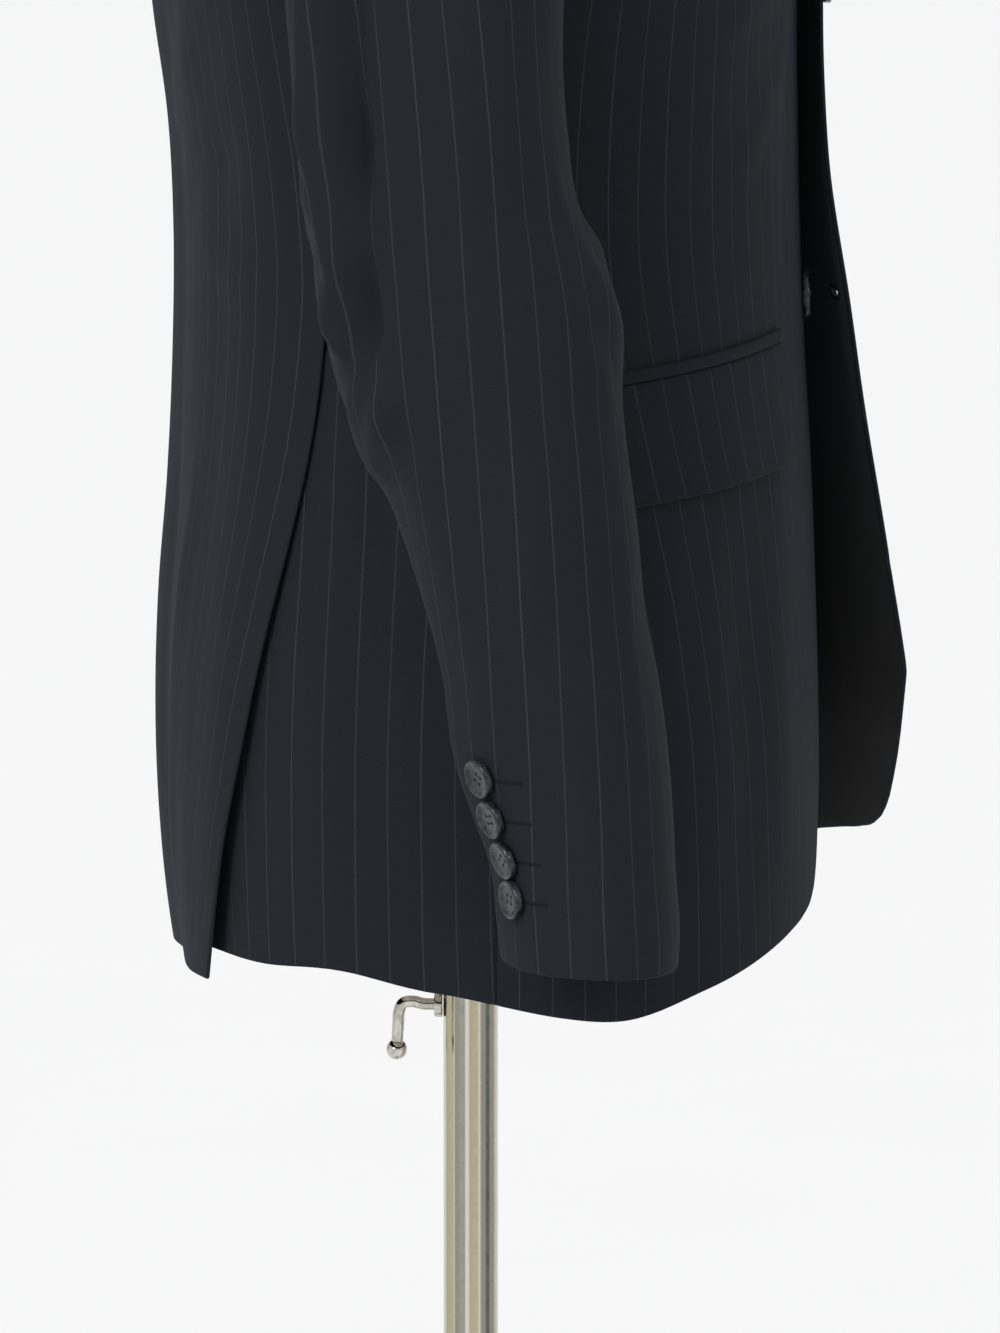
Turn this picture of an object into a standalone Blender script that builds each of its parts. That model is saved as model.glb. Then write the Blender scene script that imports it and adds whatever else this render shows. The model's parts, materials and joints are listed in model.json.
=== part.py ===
"""A two-button suit jacket on a limbless dress form, which stands on a telescopic pole with a round base.

Lengths are in metres and +Z is up. The pole stands on the Z axis, the front faces -Y and the wearer's left
is +X. The body of the jacket follows rings round the torso: an angle of 0 is the centre of the front,
90 degrees is the side and 180 degrees is the centre of the back. Each panel is a wall about a part of it.
"""

import math

import bmesh
import bpy
import numpy as np
from mathutils import Matrix, Vector

LEFT = 1
RIGHT = -1
SIDES = {"left": LEFT, "right": RIGHT}

# Cloth
CLOTH = 0.0016
GAP = 0.0003
ON_PANEL = CLOTH + 0.0004  # from the middle of a panel to the middle of what lies on it


class Table:
    """Rows with named columns. The first column is a place, and a smooth curve is read between the rows."""

    def __init__(self, columns, rows):
        self.columns = columns.split()
        self.rows = np.array(rows, float)
        self.places = self.rows[:, 0]
        self.slopes = np.gradient(self.rows, self.places, axis=0)

    def __call__(self, place, column):
        number = self.columns.index(column)
        if place <= self.places[0]:
            return self.rows[0, number]
        if place >= self.places[-1]:
            return self.rows[-1, number]
        below = int(np.searchsorted(self.places, place)) - 1
        step = self.places[below + 1] - self.places[below]
        share = (place - self.places[below]) / step
        start, end = self.rows[below, number], self.rows[below + 1, number]
        start_slope, end_slope = self.slopes[below, number], self.slopes[below + 1, number]
        return (
            start * (1 + 2 * share) * (1 - share) ** 2
            + start_slope * step * share * (1 - share) ** 2
            + end * share**2 * (3 - 2 * share)
            + end_slope * step * share**2 * (share - 1)
        )


# Rings round the torso, as superellipses
TORSO = Table(
    "height half_width front back power",
    [
        (0.750, 0.2060, 0.1405, 0.1150, 2.50),
        (0.780, 0.2060, 0.1405, 0.1195, 2.50),
        (0.820, 0.2050, 0.1400, 0.1230, 2.50),
        (0.860, 0.2030, 0.1388, 0.1240, 2.50),
        (0.900, 0.1970, 0.1372, 0.1230, 2.45),
        (0.950, 0.1860, 0.1350, 0.1192, 2.40),
        (1.000, 0.1740, 0.1320, 0.1170, 2.40),
        (1.045, 0.1670, 0.1300, 0.1165, 2.40),
        (1.090, 0.1690, 0.1285, 0.1185, 2.40),
        (1.136, 0.1755, 0.1275, 0.1245, 2.40),
        (1.200, 0.1880, 0.1310, 0.1290, 2.40),
        (1.260, 0.1980, 0.1330, 0.1300, 2.40),
        (1.320, 0.2070, 0.1290, 0.1270, 2.45),
        (1.380, 0.2150, 0.1170, 0.1170, 2.50),
        (1.430, 0.2220, 0.1020, 0.1040, 2.50),
        (1.480, 0.2260, 0.0900, 0.0900, 2.50),
    ],
)

# Shoulders: above CLOSE_FROM the front and the back lean together and meet at the shoulder seam
CLOSE_FROM = 1.280
CLOSE_POWER = 2.2
NECK_X = 0.078
NECK_Z = 1.478
NECK_RISE = 1.2
SHOULDER_SLOPE = 0.379
SHOULDER_Y = 0.006
BACK_NECK_Z = 1.468

# Armhole: a loop that starts at the armpit and ends at the shoulder point
ARMPIT_Z = 1.204
ARMHOLE_HEIGHT = 0.221
ARMHOLE_LEAN = 10.0
ARMHOLE_SPREAD = 27.0

# Fronts: how far the edge reaches past the centre line, up to the break of the lapel
BREAK_Z = 1.165
ROLL_SLOPE = 0.313
EDGE = Table(
    "height beyond",
    [
        (0.800, -0.0470),
        (0.806, -0.0435),
        (0.815, -0.0385),
        (0.830, -0.0300),
        (0.860, -0.0165),
        (0.900, -0.0030),
        (0.940, 0.0070),
        (0.980, 0.0140),
        (1.020, 0.0185),
        (1.060, 0.0200),
        (BREAK_Z, 0.0200),
    ],
)
FRONT_HEM = Table(
    "degrees height",
    [
        (9.0, 0.8000),
        (10.5, 0.7925),
        (13.0, 0.7868),
        (18.0, 0.7822),
        (24.0, 0.7778),
        (32.0, 0.7715),
        (49.0, 0.7640),
        (66.0, 0.7575),
        (76.0, 0.7605),
        (84.0, 0.7655),
        (92.0, 0.7715),
        (101.0, 0.7770),
        (119.0, 0.7775),
        (150.0, 0.7760),
    ],
)
CORNER_DEGREES = 9.0
LEFT_FRONT_LIFT = 0.011  # the left quarter hangs higher than the right one

# The left front laps over the right one at the fastened button and swings forward below it
TOP_BUTTON_Z = 1.145
LOW_BUTTON_Z = 1.020
BUTTON_PULL = 0.0100
PULL_WIDTH = 0.045
PULL_HEIGHT = 0.050
LAP_POWER = 0.55
EDGE_FLARE = 0.006
LAP = Table(
    "height forward",
    [
        (0.780, 0.0340),
        (0.820, 0.0355),
        (0.860, 0.0365),
        (0.912, 0.0305),
        (0.960, 0.0250),
        (1.020, 0.0195),
        (1.076, 0.0115),
        (1.110, 0.0085),
        (1.145, 0.0070),
        (1.230, 0.0068),
        (1.300, 0.0020),
        (1.360, 0.0000),
    ],
)

# Seams and vents
SIDE_SEAM_DEGREES = 84.0
BACK_SEAM = Table(
    "height depth",
    [
        (0.762, 0.0900),
        (0.798, 0.0840),
        (0.824, 0.0795),
        (0.851, 0.0735),
        (0.884, 0.0670),
        (0.932, 0.0560),
        (0.975, 0.0475),
        (1.012, 0.0435),
        (1.060, 0.0455),
        (1.120, 0.0540),
        (1.200, 0.0660),
        (1.280, 0.0723),
    ],
)
BACK_SEAM_TOP = 1.280
VENT_TOP = 1.012
UNDERLAP_DEGREES = 15.0
UNDERLAP_SINK = 0.0010
BACK_HEM_Z = 0.763
FLAP_EDGE_DROP = 0.004
VENT_FLAP = Table(
    "height out",
    [
        (0.760, 0.0085),
        (0.820, 0.0065),
        (0.900, 0.0038),
        (0.980, 0.0018),
        (1.012, 0.0015),
        (1.036, 0.0000),
        (1.060, 0.0000),
    ],
)

# Rows of points, as heights: at the side seam, at the back seam, and turns of the armhole above them
SEAM_ROWS = [0, 0.784, 0.806, 0.836, 0.872, 0.910, 0.950, 0.984, 1.012, 1.050, 1.098, 1.145, 1.178]
BACK_ROWS = [0, 0.784, 0.806, 0.836, 0.872, 0.910, 0.950, 0.984, 1.012, 1.050, 1.105, 1.165, 1.225]
HEM_ROWS = 4
FRONT_TURNS = [0.14, 0.22, 0.31, 0.40, 0.50, 0.60, 0.69, 0.77, 0.84, 0.90, 0.95, 1.00]
BACK_TURNS = [0.47, 0.56, 0.66, 0.76, 0.84, 0.90, 0.95, 1.00]
FRONT_COLUMNS = [0, 0.015, 0.04, 0.08, 0.14, 0.22, 0.32, 0.44, 0.57, 0.71, 0.86, 1]
BACK_COLUMNS = [0, 0.12, 0.25, 0.38, 0.50, 0.61, 0.72, 0.82, 0.91, 1]
SIDE_COLUMNS = 6

# Sleeves: rings below the armhole, each level but for a lower front
SLEEVE = Table(
    "height y half_y x half_x",
    [
        (0.7900, -0.0603, 0.0320, 0.2510, 0.0465),
        (0.8040, -0.0598, 0.0330, 0.2515, 0.0470),
        (0.8260, -0.0578, 0.0334, 0.2525, 0.0478),
        (0.8447, -0.0540, 0.0362, 0.2535, 0.0485),
        (0.8666, -0.0497, 0.0388, 0.2550, 0.0490),
        (0.8960, -0.0457, 0.0391, 0.2565, 0.0500),
        (0.9215, -0.0402, 0.0398, 0.2580, 0.0505),
        (0.9510, -0.0345, 0.0430, 0.2595, 0.0515),
        (0.9980, -0.0213, 0.0505, 0.2610, 0.0530),
        (1.0390, -0.0155, 0.0540, 0.2605, 0.0545),
        (1.0530, -0.0115, 0.0520, 0.2600, 0.0550),
        (1.0716, -0.0060, 0.0493, 0.2590, 0.0555),
        (1.0970, -0.0025, 0.0490, 0.2575, 0.0555),
        (1.1450, 0.0000, 0.0500, 0.2530, 0.0555),
        (1.1900, 0.0010, 0.0560, 0.2480, 0.0548),
    ],
)
SLEEVE_POWER = 2.15
SLEEVE_TILT = 0.06
SLEEVE_TOP = 1.190
INTO_ARMHOLE = 0.0017
HEAD_RISE = 0.16
CAP_ROWS = 7
SLEEVE_ROWS = [1.190, 1.160, 1.128, 1.100, 1.080, 1.065, 1.050, 1.036, 1.022, 1.008, 0.994]
SLEEVE_ROWS += [0.976, 0.952, 0.922, 0.890, 0.858, 0.832, 0.811, 0.790]
SLEEVE_TURNS = [0.14, 0.22, 0.31, 0.40, 0.50, 0.60, 0.70, 0.80, 0.90, 1.00]
SLEEVE_BACK_TURNS = [0.47, 0.56, 0.67, 0.78, 0.89, 1.00]
UNDER_SPREADS = [6, 0]
UNDER_BACK_SPREADS = [9, 19]
FRONT_SEAM_TURN = 0.31
BACK_SEAM_TURN = 0.47
ELBOW_FOLDS = [
    # degrees and height of the middle, height gained per degree, half length in degrees, half width, depth
    {"degrees": 163, "height": 1.066, "slope": 0.0009, "length": 24, "width": 0.011, "depth": 0.0040},
    {"degrees": 160, "height": 1.027, "slope": 0.0007, "length": 20, "width": 0.009, "depth": 0.0035},
    {"degrees": 150, "height": 0.996, "slope": -0.0009, "length": 22, "width": 0.010, "depth": 0.0040},
    {"degrees": 196, "height": 1.045, "slope": -0.0008, "length": 26, "width": 0.010, "depth": 0.0030},
]

# Lapels, measured along the roll line and out from it
LAPEL_TOP = 0.272
LAPEL_TIP = 0.247
LAPEL_WIDTH = 0.086
LAPEL_LIFT = ON_PANEL + 0.0004
LAPEL_ROWS = 12
LAPEL_COLUMNS = 5

# Collar: plan of the neck seam, the fold at the top of the stand and the outer edge, from back to front
COLLAR = Table(
    "place seam_x seam_y fold_x fold_y fold_rise edge_x edge_y",
    [
        (0.00, 0.0000, 0.0690, 0.0000, 0.0650, 0.0290, 0.0000, 0.0880),
        (0.20, 0.0350, 0.0615, 0.0330, 0.0580, 0.0270, 0.0420, 0.0830),
        (0.40, 0.0625, 0.0410, 0.0585, 0.0390, 0.0250, 0.0840, 0.0600),
        (0.60, 0.0765, 0.0060, 0.0730, 0.0060, 0.0190, 0.1130, 0.0080),
        (0.75, 0.0730, -0.0290, 0.0712, -0.0300, 0.0115, 0.1240, -0.0240),
        (0.88, 0.0670, -0.0540, 0.0662, -0.0545, 0.0085, 0.1290, -0.0410),
        (1.00, 0.0580, -0.0755, 0.0580, -0.0755, 0.0080, 0.1300, -0.0545),
    ],
)
COLLAR_SEAM_RISE = 0.0022
COLLAR_LIFT = 0.0048
NOTCH_DIP = 0.0145
COLLAR_STAND = 0.35
COLLAR_COLUMNS = 22
COLLAR_ROWS = [0, 0.17, 0.31, 0.35, 0.38, 0.44, 0.54, 0.66, 0.78, 0.90, 1]

# Hip pockets
POCKET_FRONT_DEGREES = 20.0
POCKET_BACK_DEGREES = 81.0
POCKET_FRONT_Z = 1.0115
POCKET_BACK_Z = 0.9958
JET_HEIGHT = 0.0048
FLAP_HEIGHT = 0.0465
FLAP_CORNER = 0.10
FLAP_STAND_OFF = 0.0012

# Buttons
FRONT_BUTTON_RADIUS = 0.0100
FRONT_BUTTON_HEIGHT = 0.0032
CUFF_BUTTON_RADIUS = 0.0073
CUFF_BUTTON_HEIGHT = 0.0028
CUFF_BUTTON_HEIGHTS = [0.8622, 0.8472, 0.8322, 0.8172]
CUFF_BUTTON_DEGREES = [131.0, 131.5, 132.0, 132.5]
BUTTON_SEGMENTS = 14

# Dress form
FORM_BOTTOM = 0.820
FORM_INSET = Table(
    "height inset",
    [
        (0.820, 0.0300),
        (0.835, 0.0180),
        (0.870, 0.0140),
        (1.045, 0.0120),
        (1.200, 0.0090),
        (1.300, 0.0065),
        (1.480, 0.0060),
    ],
)
FORM_SHOULDER_DROP = 0.0018
FORM_NECK_FROM = 1.440
FORM_NECK_FULL = 1.492
FORM_NECK_X = 0.052
FORM_NECK_Y = 0.054
FORM_ROWS = [0.820, 0.828, 0.850, 0.900, 0.950, 1.000, 1.045, 1.090, 1.140, 1.195, 1.250, 1.300, 1.345]
FORM_ROWS += [1.380, 1.405, 1.420, 1.433, 1.446, 1.458, 1.469, 1.480, 1.492, 1.514, 1.520]
FORM_POINTS = 36

# Stand
POLE_RADIUS = 0.0110
POLE_BORE = 0.0090
FLUTE_COUNT = 12
FLUTE_DEPTH = 0.0007
POLE_SEGMENTS = 48
POLE_TOP = 0.752
INNER_RADIUS = POLE_BORE - GAP
INNER_LENGTH = 0.330
STOP_RADIUS = 0.0150
STOP_HEIGHT = 0.018
BASE_RADIUS = 0.160
BASE_RIM = 0.005
SOCKET_RADIUS = 0.021
SOCKET_HEIGHT = 0.042
SOCKET_FLOOR = 0.012
BASE_SEGMENTS = 48
CLAMP_Z = 0.7332
NUT_RADIUS = 0.0052
NUT_HEIGHT = 0.0032
ROD_RADIUS = 0.0024
BALL_RADIUS = 0.0042
HANDLE_ROUTE = [
    # y, z
    (POLE_RADIUS + GAP, CLAMP_Z),
    (0.0190, CLAMP_Z),
    (0.0235, 0.7341),
    (0.0272, 0.7333),
    (0.0288, 0.7300),
    (0.0292, 0.7250),
    (0.0298, 0.7146),
]

# Colours as linear RGB with roughness and metallic value
DARK_CLOTH = (0.021, 0.025, 0.033, 0.85, 0.0)
HORN = (0.030, 0.030, 0.031, 0.30, 0.0)
CANVAS = (0.70, 0.66, 0.58, 0.90, 0.0)
CHROME = (0.62, 0.60, 0.55, 0.16, 1.0)


def blend(start, end, share):
    return start + (end - start) * share


def ease(share):
    """0 below 0, 1 above 1 and a smooth step between them."""
    share = min(max(share, 0.0), 1.0)
    return share * share * (3 - 2 * share)


def signed_power(value, power):
    return math.copysign(abs(value) ** power, value)


def shoulder_height(x):
    """Height of the shoulder line at a distance from the centre; it climbs the neck inside NECK_X."""
    if x < NECK_X:
        return NECK_Z + (NECK_X - x) * NECK_RISE
    return NECK_Z - (x - NECK_X) * SHOULDER_SLOPE


def closing(x, height, drop=0.0):
    """Share of its depth that the torso keeps at this height: 1 on the chest, 0 at the shoulder line."""
    share = (height - CLOSE_FROM) / (shoulder_height(x) - drop - CLOSE_FROM)
    share = min(max(share, 0.0), 1.0)
    return math.sqrt(1 - share**CLOSE_POWER)


def torso_point(degrees, height, side):
    """A point of the torso surface."""
    angle = math.radians(degrees)
    power = 2 / TORSO(height, "power")
    x = TORSO(height, "half_width") * signed_power(math.sin(angle), power)
    reach = TORSO(height, "front" if degrees < 90 else "back")
    y = -reach * signed_power(math.cos(angle), power)
    y = blend(SHOULDER_Y, y, closing(abs(x), height))
    return np.array([side * x, y, height])


def degrees_at_x(x, height):
    """Angle on the front of the ring at a distance from the centre line."""
    share = min(abs(x) / TORSO(height, "half_width"), 1.0)
    return math.copysign(math.degrees(math.asin(share ** (TORSO(height, "power") / 2))), x)


def degrees_at_depth(depth, height):
    """Angle on the back of the ring at a depth behind the side."""
    share = depth / TORSO(height, "back")
    return 180 - math.degrees(math.acos(share ** (TORSO(height, "power") / 2)))


def armhole_spread(turn):
    """Degrees from the side to the armhole's edge; turn is 0 at the armpit and 1 at the shoulder point."""
    return ARMHOLE_LEAN * turn + ARMHOLE_SPREAD * math.sin(math.pi * turn) ** 0.9


def armhole_height(turn):
    return ARMPIT_Z + ARMHOLE_HEIGHT * (1 - math.cos(math.pi * turn)) / 2


def armhole_turn(height):
    share = min(max((height - ARMPIT_Z) / ARMHOLE_HEIGHT, 0.0), 1.0)
    return math.acos(1 - 2 * share) / math.pi


def low_turn(spread):
    """Turn near the armpit at which the armhole's edge is this many degrees from the side."""
    low, high = 0.0, 0.45
    for _ in range(30):
        middle = (low + high) / 2
        if armhole_spread(middle) < spread:
            low = middle
        else:
            high = middle
    return (low + high) / 2


SEAM_GAP_DEGREES = math.degrees(GAP / 2 / 0.17)
SLEEVE_GAP_DEGREES = math.degrees(GAP / 0.045)
SIDE_SEAM_TURN = low_turn(90 - SIDE_SEAM_DEGREES)
SIDE_SEAM_TOP = armhole_height(SIDE_SEAM_TURN)


def edge_x(height):
    """Distance of the front edge or roll line from the centre, positive on the panel's own side."""
    if height < BREAK_Z:
        return -EDGE(height, "beyond")
    return -EDGE(BREAK_Z, "beyond") + (height - BREAK_Z) * ROLL_SLOPE


def forward(side, x, height):
    """How far a front stands forward of the torso: the pull of the button, and the lap of the left front."""
    across = math.exp(-0.5 * (x / PULL_WIDTH) ** 2)
    up = math.exp(-0.5 * ((height - TOP_BUTTON_Z) / PULL_HEIGHT) ** 2)
    push = BUTTON_PULL * across * up
    if side == LEFT:
        edge = edge_x(height)
        full = TORSO(height, "half_width") - edge + EDGE_FLARE
        reach = min(max(x - edge, 0.0) + EDGE_FLARE, full) / full
        most = 1 - (EDGE_FLARE / full) ** LAP_POWER
        push += LAP(height, "forward") * (1 - reach**LAP_POWER) / most
    return push


def front_middle(side, degrees, height):
    point = torso_point(degrees, height, side)
    point[1] -= forward(side, point[0] * side, height)
    return point


def facing(surface, a, b, step_a=1e-3, step_b=1e-3):
    """Unit normal of a surface of two places."""
    first = surface(a + step_a, b) - surface(a - step_a, b)
    second = surface(a, b + step_b) - surface(a, b - step_b)
    normal = np.cross(first, second)
    return normal / np.linalg.norm(normal)


def on_front(side, degrees, height, lift):
    """A point at a distance outside the middle of a front."""
    normal = facing(lambda a, b: front_middle(side, a, b), degrees, height, 0.2, 0.001)
    if normal[1] > 0:
        normal = -normal
    return front_middle(side, degrees, height) + normal * lift


def front_hem(side, degrees):
    lift = LEFT_FRONT_LIFT * (1 - ease((degrees - 30) / 50)) if side == LEFT else 0.0
    return FRONT_HEM(degrees, "height") + lift


def panel_height(column, row, edge_heights, seam_heights, hem, top):
    """Height of a panel's point: between its two upright edges, bent to the hem and to the upper edge."""
    rows = range(len(edge_heights))
    height = blend(np.interp(row, rows, edge_heights), np.interp(row, rows, seam_heights), column)
    low = hem - blend(edge_heights[0], seam_heights[0], column)
    height += low * max(1 - row / HEM_ROWS, 0.0)
    high = top - blend(edge_heights[-1], seam_heights[-1], column)
    above = max(row - len(SEAM_ROWS), 0.0) / (len(edge_heights) - 1 - len(SEAM_ROWS))
    return height + high * above**2


def shoulder_line(degrees, side):
    """Height of a panel's upper edge at an angle: the shoulder seam, or the neckline nearer the centre."""
    height = NECK_Z - 0.02
    for _ in range(12):
        x = torso_point(degrees, height, side)[0] * side
        if x < NECK_X:
            height = BACK_NECK_Z + (NECK_Z - BACK_NECK_Z) * max(x / NECK_X, 0.0) ** 2
        else:
            height = shoulder_height(x)
    return height


def front_surface(side):
    """The front: columns from its edge (0) to the side seam and armhole (1), rows up from the hem."""
    corner_z = front_hem(side, CORNER_DEGREES)
    stretch = (SIDE_SEAM_TOP - corner_z) / (SIDE_SEAM_TOP - 0.765)
    edge_heights = [corner_z, *(corner_z + (z - 0.765) * stretch for z in SEAM_ROWS[1:]), SIDE_SEAM_TOP]
    seam_heights = [front_hem(side, SIDE_SEAM_DEGREES), *SEAM_ROWS[1:], SIDE_SEAM_TOP]
    for turn in FRONT_TURNS:
        edge_heights.append(SIDE_SEAM_TOP + (NECK_Z - SIDE_SEAM_TOP) * (1 - math.cos(math.pi * turn)) / 2)
        seam_heights.append(armhole_height(turn))
    last = len(edge_heights) - 1

    def seam_degrees(height):
        if height <= SIDE_SEAM_TOP:
            return SIDE_SEAM_DEGREES - SEAM_GAP_DEGREES
        return 90 - armhole_spread(armhole_turn(height))

    def top_height(column):
        degrees = blend(degrees_at_x(NECK_X, NECK_Z), seam_degrees(seam_heights[-1]), column)
        return shoulder_line(degrees, side)

    def surface(column, row):
        row = min(max(row, 0.0), last)
        rows = range(last + 1)
        edge = np.interp(row, rows, edge_heights)
        seam = np.interp(row, rows, seam_heights)
        start = degrees_at_x(edge_x(edge), edge)
        degrees = blend(start, seam_degrees(seam), column)
        hem_degrees = blend(CORNER_DEGREES, SIDE_SEAM_DEGREES, column)
        hem = front_hem(side, hem_degrees)
        height = panel_height(column, row, edge_heights, seam_heights, hem, top_height(column))
        point = front_middle(side, degrees, height)
        point[1] -= GAP / 2 * ease((row - last + 1))
        return point

    return surface, range(last + 1)


def back_surface(side):
    """Half of the back: columns from the centre back (0) to the back seam and armhole (1)."""
    centre_heights = [BACK_HEM_Z, *BACK_ROWS[1:], BACK_SEAM_TOP]
    seam_heights = [BACK_HEM_Z + FLAP_EDGE_DROP, *BACK_ROWS[1:], BACK_SEAM_TOP]
    first = armhole_turn(BACK_SEAM_TOP)
    for turn in BACK_TURNS:
        share = (turn - first) / (1 - first)
        centre_heights.append(BACK_SEAM_TOP + (BACK_NECK_Z - BACK_SEAM_TOP) * math.sin(math.pi / 2 * share))
        seam_heights.append(armhole_height(turn))
    last = len(centre_heights) - 1
    middle_gap = math.degrees(GAP / 2 / 0.2)

    def seam_degrees(height):
        if height <= BACK_SEAM_TOP:
            return degrees_at_depth(BACK_SEAM(height, "depth"), height) + SEAM_GAP_DEGREES
        return 90 + armhole_spread(armhole_turn(height))

    def top_height(column):
        degrees = blend(180 - middle_gap, seam_degrees(seam_heights[-1]), column)
        return shoulder_line(degrees, side)

    def surface(column, row):
        row = min(max(row, 0.0), last)
        seam = np.interp(row, range(last + 1), seam_heights)
        degrees = blend(180 - middle_gap, seam_degrees(seam), column)
        hem = blend(BACK_HEM_Z, BACK_HEM_Z + FLAP_EDGE_DROP, column)
        height = panel_height(column, row, centre_heights, seam_heights, hem, top_height(column))
        point = torso_point(degrees, height, side)
        out = np.array([side * 0.75, 0.66, 0.0])
        point += out * VENT_FLAP(height, "out") * ease((column - 0.4) / 0.6)
        point[1] += GAP / 2 * ease((row - last + 1))
        return point

    return surface, range(last + 1)


def side_surface(side):
    """The side panel: columns from the side seam (0) to the back seam or the underlap of the vent (1)."""
    front_heights = [front_hem(side, SIDE_SEAM_DEGREES), *SEAM_ROWS[1:], SIDE_SEAM_TOP]
    back_heights = [front_hem(side, 140), *BACK_ROWS[1:], BACK_SEAM_TOP]
    last = len(front_heights) - 1
    rows = range(last + 1)

    def back_degrees(height):
        under = ease((VENT_TOP - 0.001 - height) / 0.026)
        seam = degrees_at_depth(BACK_SEAM(height, "depth"), height)
        return seam - SEAM_GAP_DEGREES + UNDERLAP_DEGREES * under

    def surface(column, row):
        row = min(max(row, 0.0), last)
        back = np.interp(row, rows, back_heights)
        degrees = blend(SIDE_SEAM_DEGREES + SEAM_GAP_DEGREES, back_degrees(back), column)
        top_degrees = blend(SIDE_SEAM_DEGREES, back_degrees(BACK_SEAM_TOP), column)
        top = armhole_height(low_turn(abs(top_degrees - 90)))
        height = blend(np.interp(row, rows, front_heights), back, column)
        hem = front_hem(side, degrees)
        height += (hem - blend(front_heights[0], back_heights[0], column)) * max(1 - row / HEM_ROWS, 0.0)
        height += (top - blend(front_heights[-1], back_heights[-1], column)) * (row / last) ** 6
        point = torso_point(degrees, height, side)
        sunk = ease((VENT_TOP + 0.012 - height) / 0.03) * ease((column - 0.45) / 0.3)
        inward = np.array([-side * 0.8, -0.6, 0.0])
        return point + inward * UNDERLAP_SINK * sunk

    return surface, rows


def grid_mesh(outer, inner):
    """Points and faces of a closed wall from its outer and inner grids, each a list of rows."""
    row_count, column_count = len(outer), len(outer[0])
    points = [p for grid in (outer, inner) for row in grid for p in row]
    shift = row_count * column_count

    def at(row, column):
        return row * column_count + column

    faces = []
    for row in range(row_count - 1):
        for column in range(column_count - 1):
            a, b = at(row, column), at(row, column + 1)
            c, d = at(row + 1, column + 1), at(row + 1, column)
            for corners in ((a, b, c), (a, c, d)):
                faces.append(corners)
                faces.append([shift + corner for corner in reversed(corners)])
    rim = [at(0, column) for column in range(column_count)]
    rim += [at(row, column_count - 1) for row in range(1, row_count)]
    rim += [at(row_count - 1, column) for column in range(column_count - 2, -1, -1)]
    rim += [at(row, 0) for row in range(row_count - 2, 0, -1)]
    for number, corner in enumerate(rim):
        after = rim[(number + 1) % len(rim)]
        faces.append([after, corner, shift + corner, shift + after])
    return points, faces


def material_of(name, look):
    material = bpy.data.materials.new(name)
    material.use_nodes = True
    shader = material.node_tree.nodes["Principled BSDF"]
    shader.inputs["Base Color"].default_value = (*look[:3], 1)
    shader.inputs["Roughness"].default_value = look[3]
    shader.inputs["Metallic"].default_value = look[4]
    material.diffuse_color = (*look[:3], 1)
    return material


def make(name, points, faces, look, parent=None, origin=(0, 0, 0)):
    """An object from points in world space, closed and facing out, with its origin where it turns."""
    mesh = bpy.data.meshes.new(name)
    mesh.from_pydata([Vector(p) - Vector(origin) for p in points], [], faces)
    shape = bmesh.new()
    shape.from_mesh(mesh)
    bmesh.ops.recalc_face_normals(shape, faces=shape.faces)
    if shape.calc_volume(signed=True) < 0:
        bmesh.ops.reverse_faces(shape, faces=shape.faces)
    shape.to_mesh(mesh)
    shape.free()
    mesh.materials.append(material_of(name, look))
    mesh.shade_smooth()
    mesh.set_sharp_from_angle(angle=math.radians(40))
    piece = bpy.data.objects.new(name, mesh)
    bpy.context.scene.collection.objects.link(piece)
    if parent:
        piece.parent = parent
        piece.location = Vector(origin) - parent.location
    else:
        piece.location = origin


def wall(name, surface, columns, rows, parent, step_row=1e-2):
    """A piece of cloth: an even wall about a surface."""
    outer, inner = [], []
    for row in rows:
        outer.append([])
        inner.append([])
        for column in columns:
            middle = surface(column, row)
            normal = facing(surface, column, row, 1e-3, step_row)
            outer[-1].append(middle + normal * CLOTH / 2)
            inner[-1].append(middle - normal * CLOTH / 2)
    points, faces = grid_mesh(outer, inner)
    make(name, points, faces, DARK_CLOTH, parent)


def make_body(parent):
    for word, side in SIDES.items():
        surface, rows = front_surface(side)
        wall(f"front_{word}", surface, FRONT_COLUMNS, rows, parent)
        surface, rows = side_surface(side)
        columns = [number / SIDE_COLUMNS for number in range(SIDE_COLUMNS + 1)]
        wall(f"side_{word}", surface, columns, rows, parent)
        surface, rows = back_surface(side)
        wall(f"back_{word}", surface, BACK_COLUMNS, rows, parent)


def make_lapels(parent):
    """Each lapel lies on its front, out from the roll line; its upper edge is the gorge and the notch."""
    slant = math.hypot(1, ROLL_SLOPE)
    along = (ROLL_SLOPE / slant, 1 / slant)
    out = (1 / slant, -ROLL_SLOPE / slant)
    start = (edge_x(BREAK_Z), BREAK_Z)
    for word, side in SIDES.items():

        def surface(column, row, side=side):
            share = row / LAPEL_ROWS
            width = LAPEL_WIDTH * math.sin(math.pi / 2 * max(share, 0.0)) ** 0.9 + 0.002
            length = blend(LAPEL_TOP, LAPEL_TIP, column) * share + 0.004
            x = start[0] + along[0] * length + out[0] * width * column
            z = start[1] + along[1] * length + out[1] * width * column
            return on_front(side, degrees_at_x(x, z), z, LAPEL_LIFT)

        columns = [number / LAPEL_COLUMNS for number in range(LAPEL_COLUMNS + 1)]
        wall(f"lapel_{word}", surface, columns, range(LAPEL_ROWS + 1), parent)


def roof_height(x, y):
    """Height of the torso surface above a point of the plan near the neck and shoulder."""
    low, high = CLOSE_FROM, shoulder_height(x)
    for _ in range(32):
        height = (low + high) / 2
        power = TORSO(height, "power")
        reach = TORSO(height, "front" if y < SHOULDER_Y else "back")
        depth = reach * max(1 - (x / TORSO(height, "half_width")) ** power, 0.0) ** (1 / power)
        edge = blend(SHOULDER_Y, -depth if y < SHOULDER_Y else depth, closing(x, height))
        if abs(edge - SHOULDER_Y) > abs(y - SHOULDER_Y):
            low = height
        else:
            high = height
    return (low + high) / 2


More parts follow.
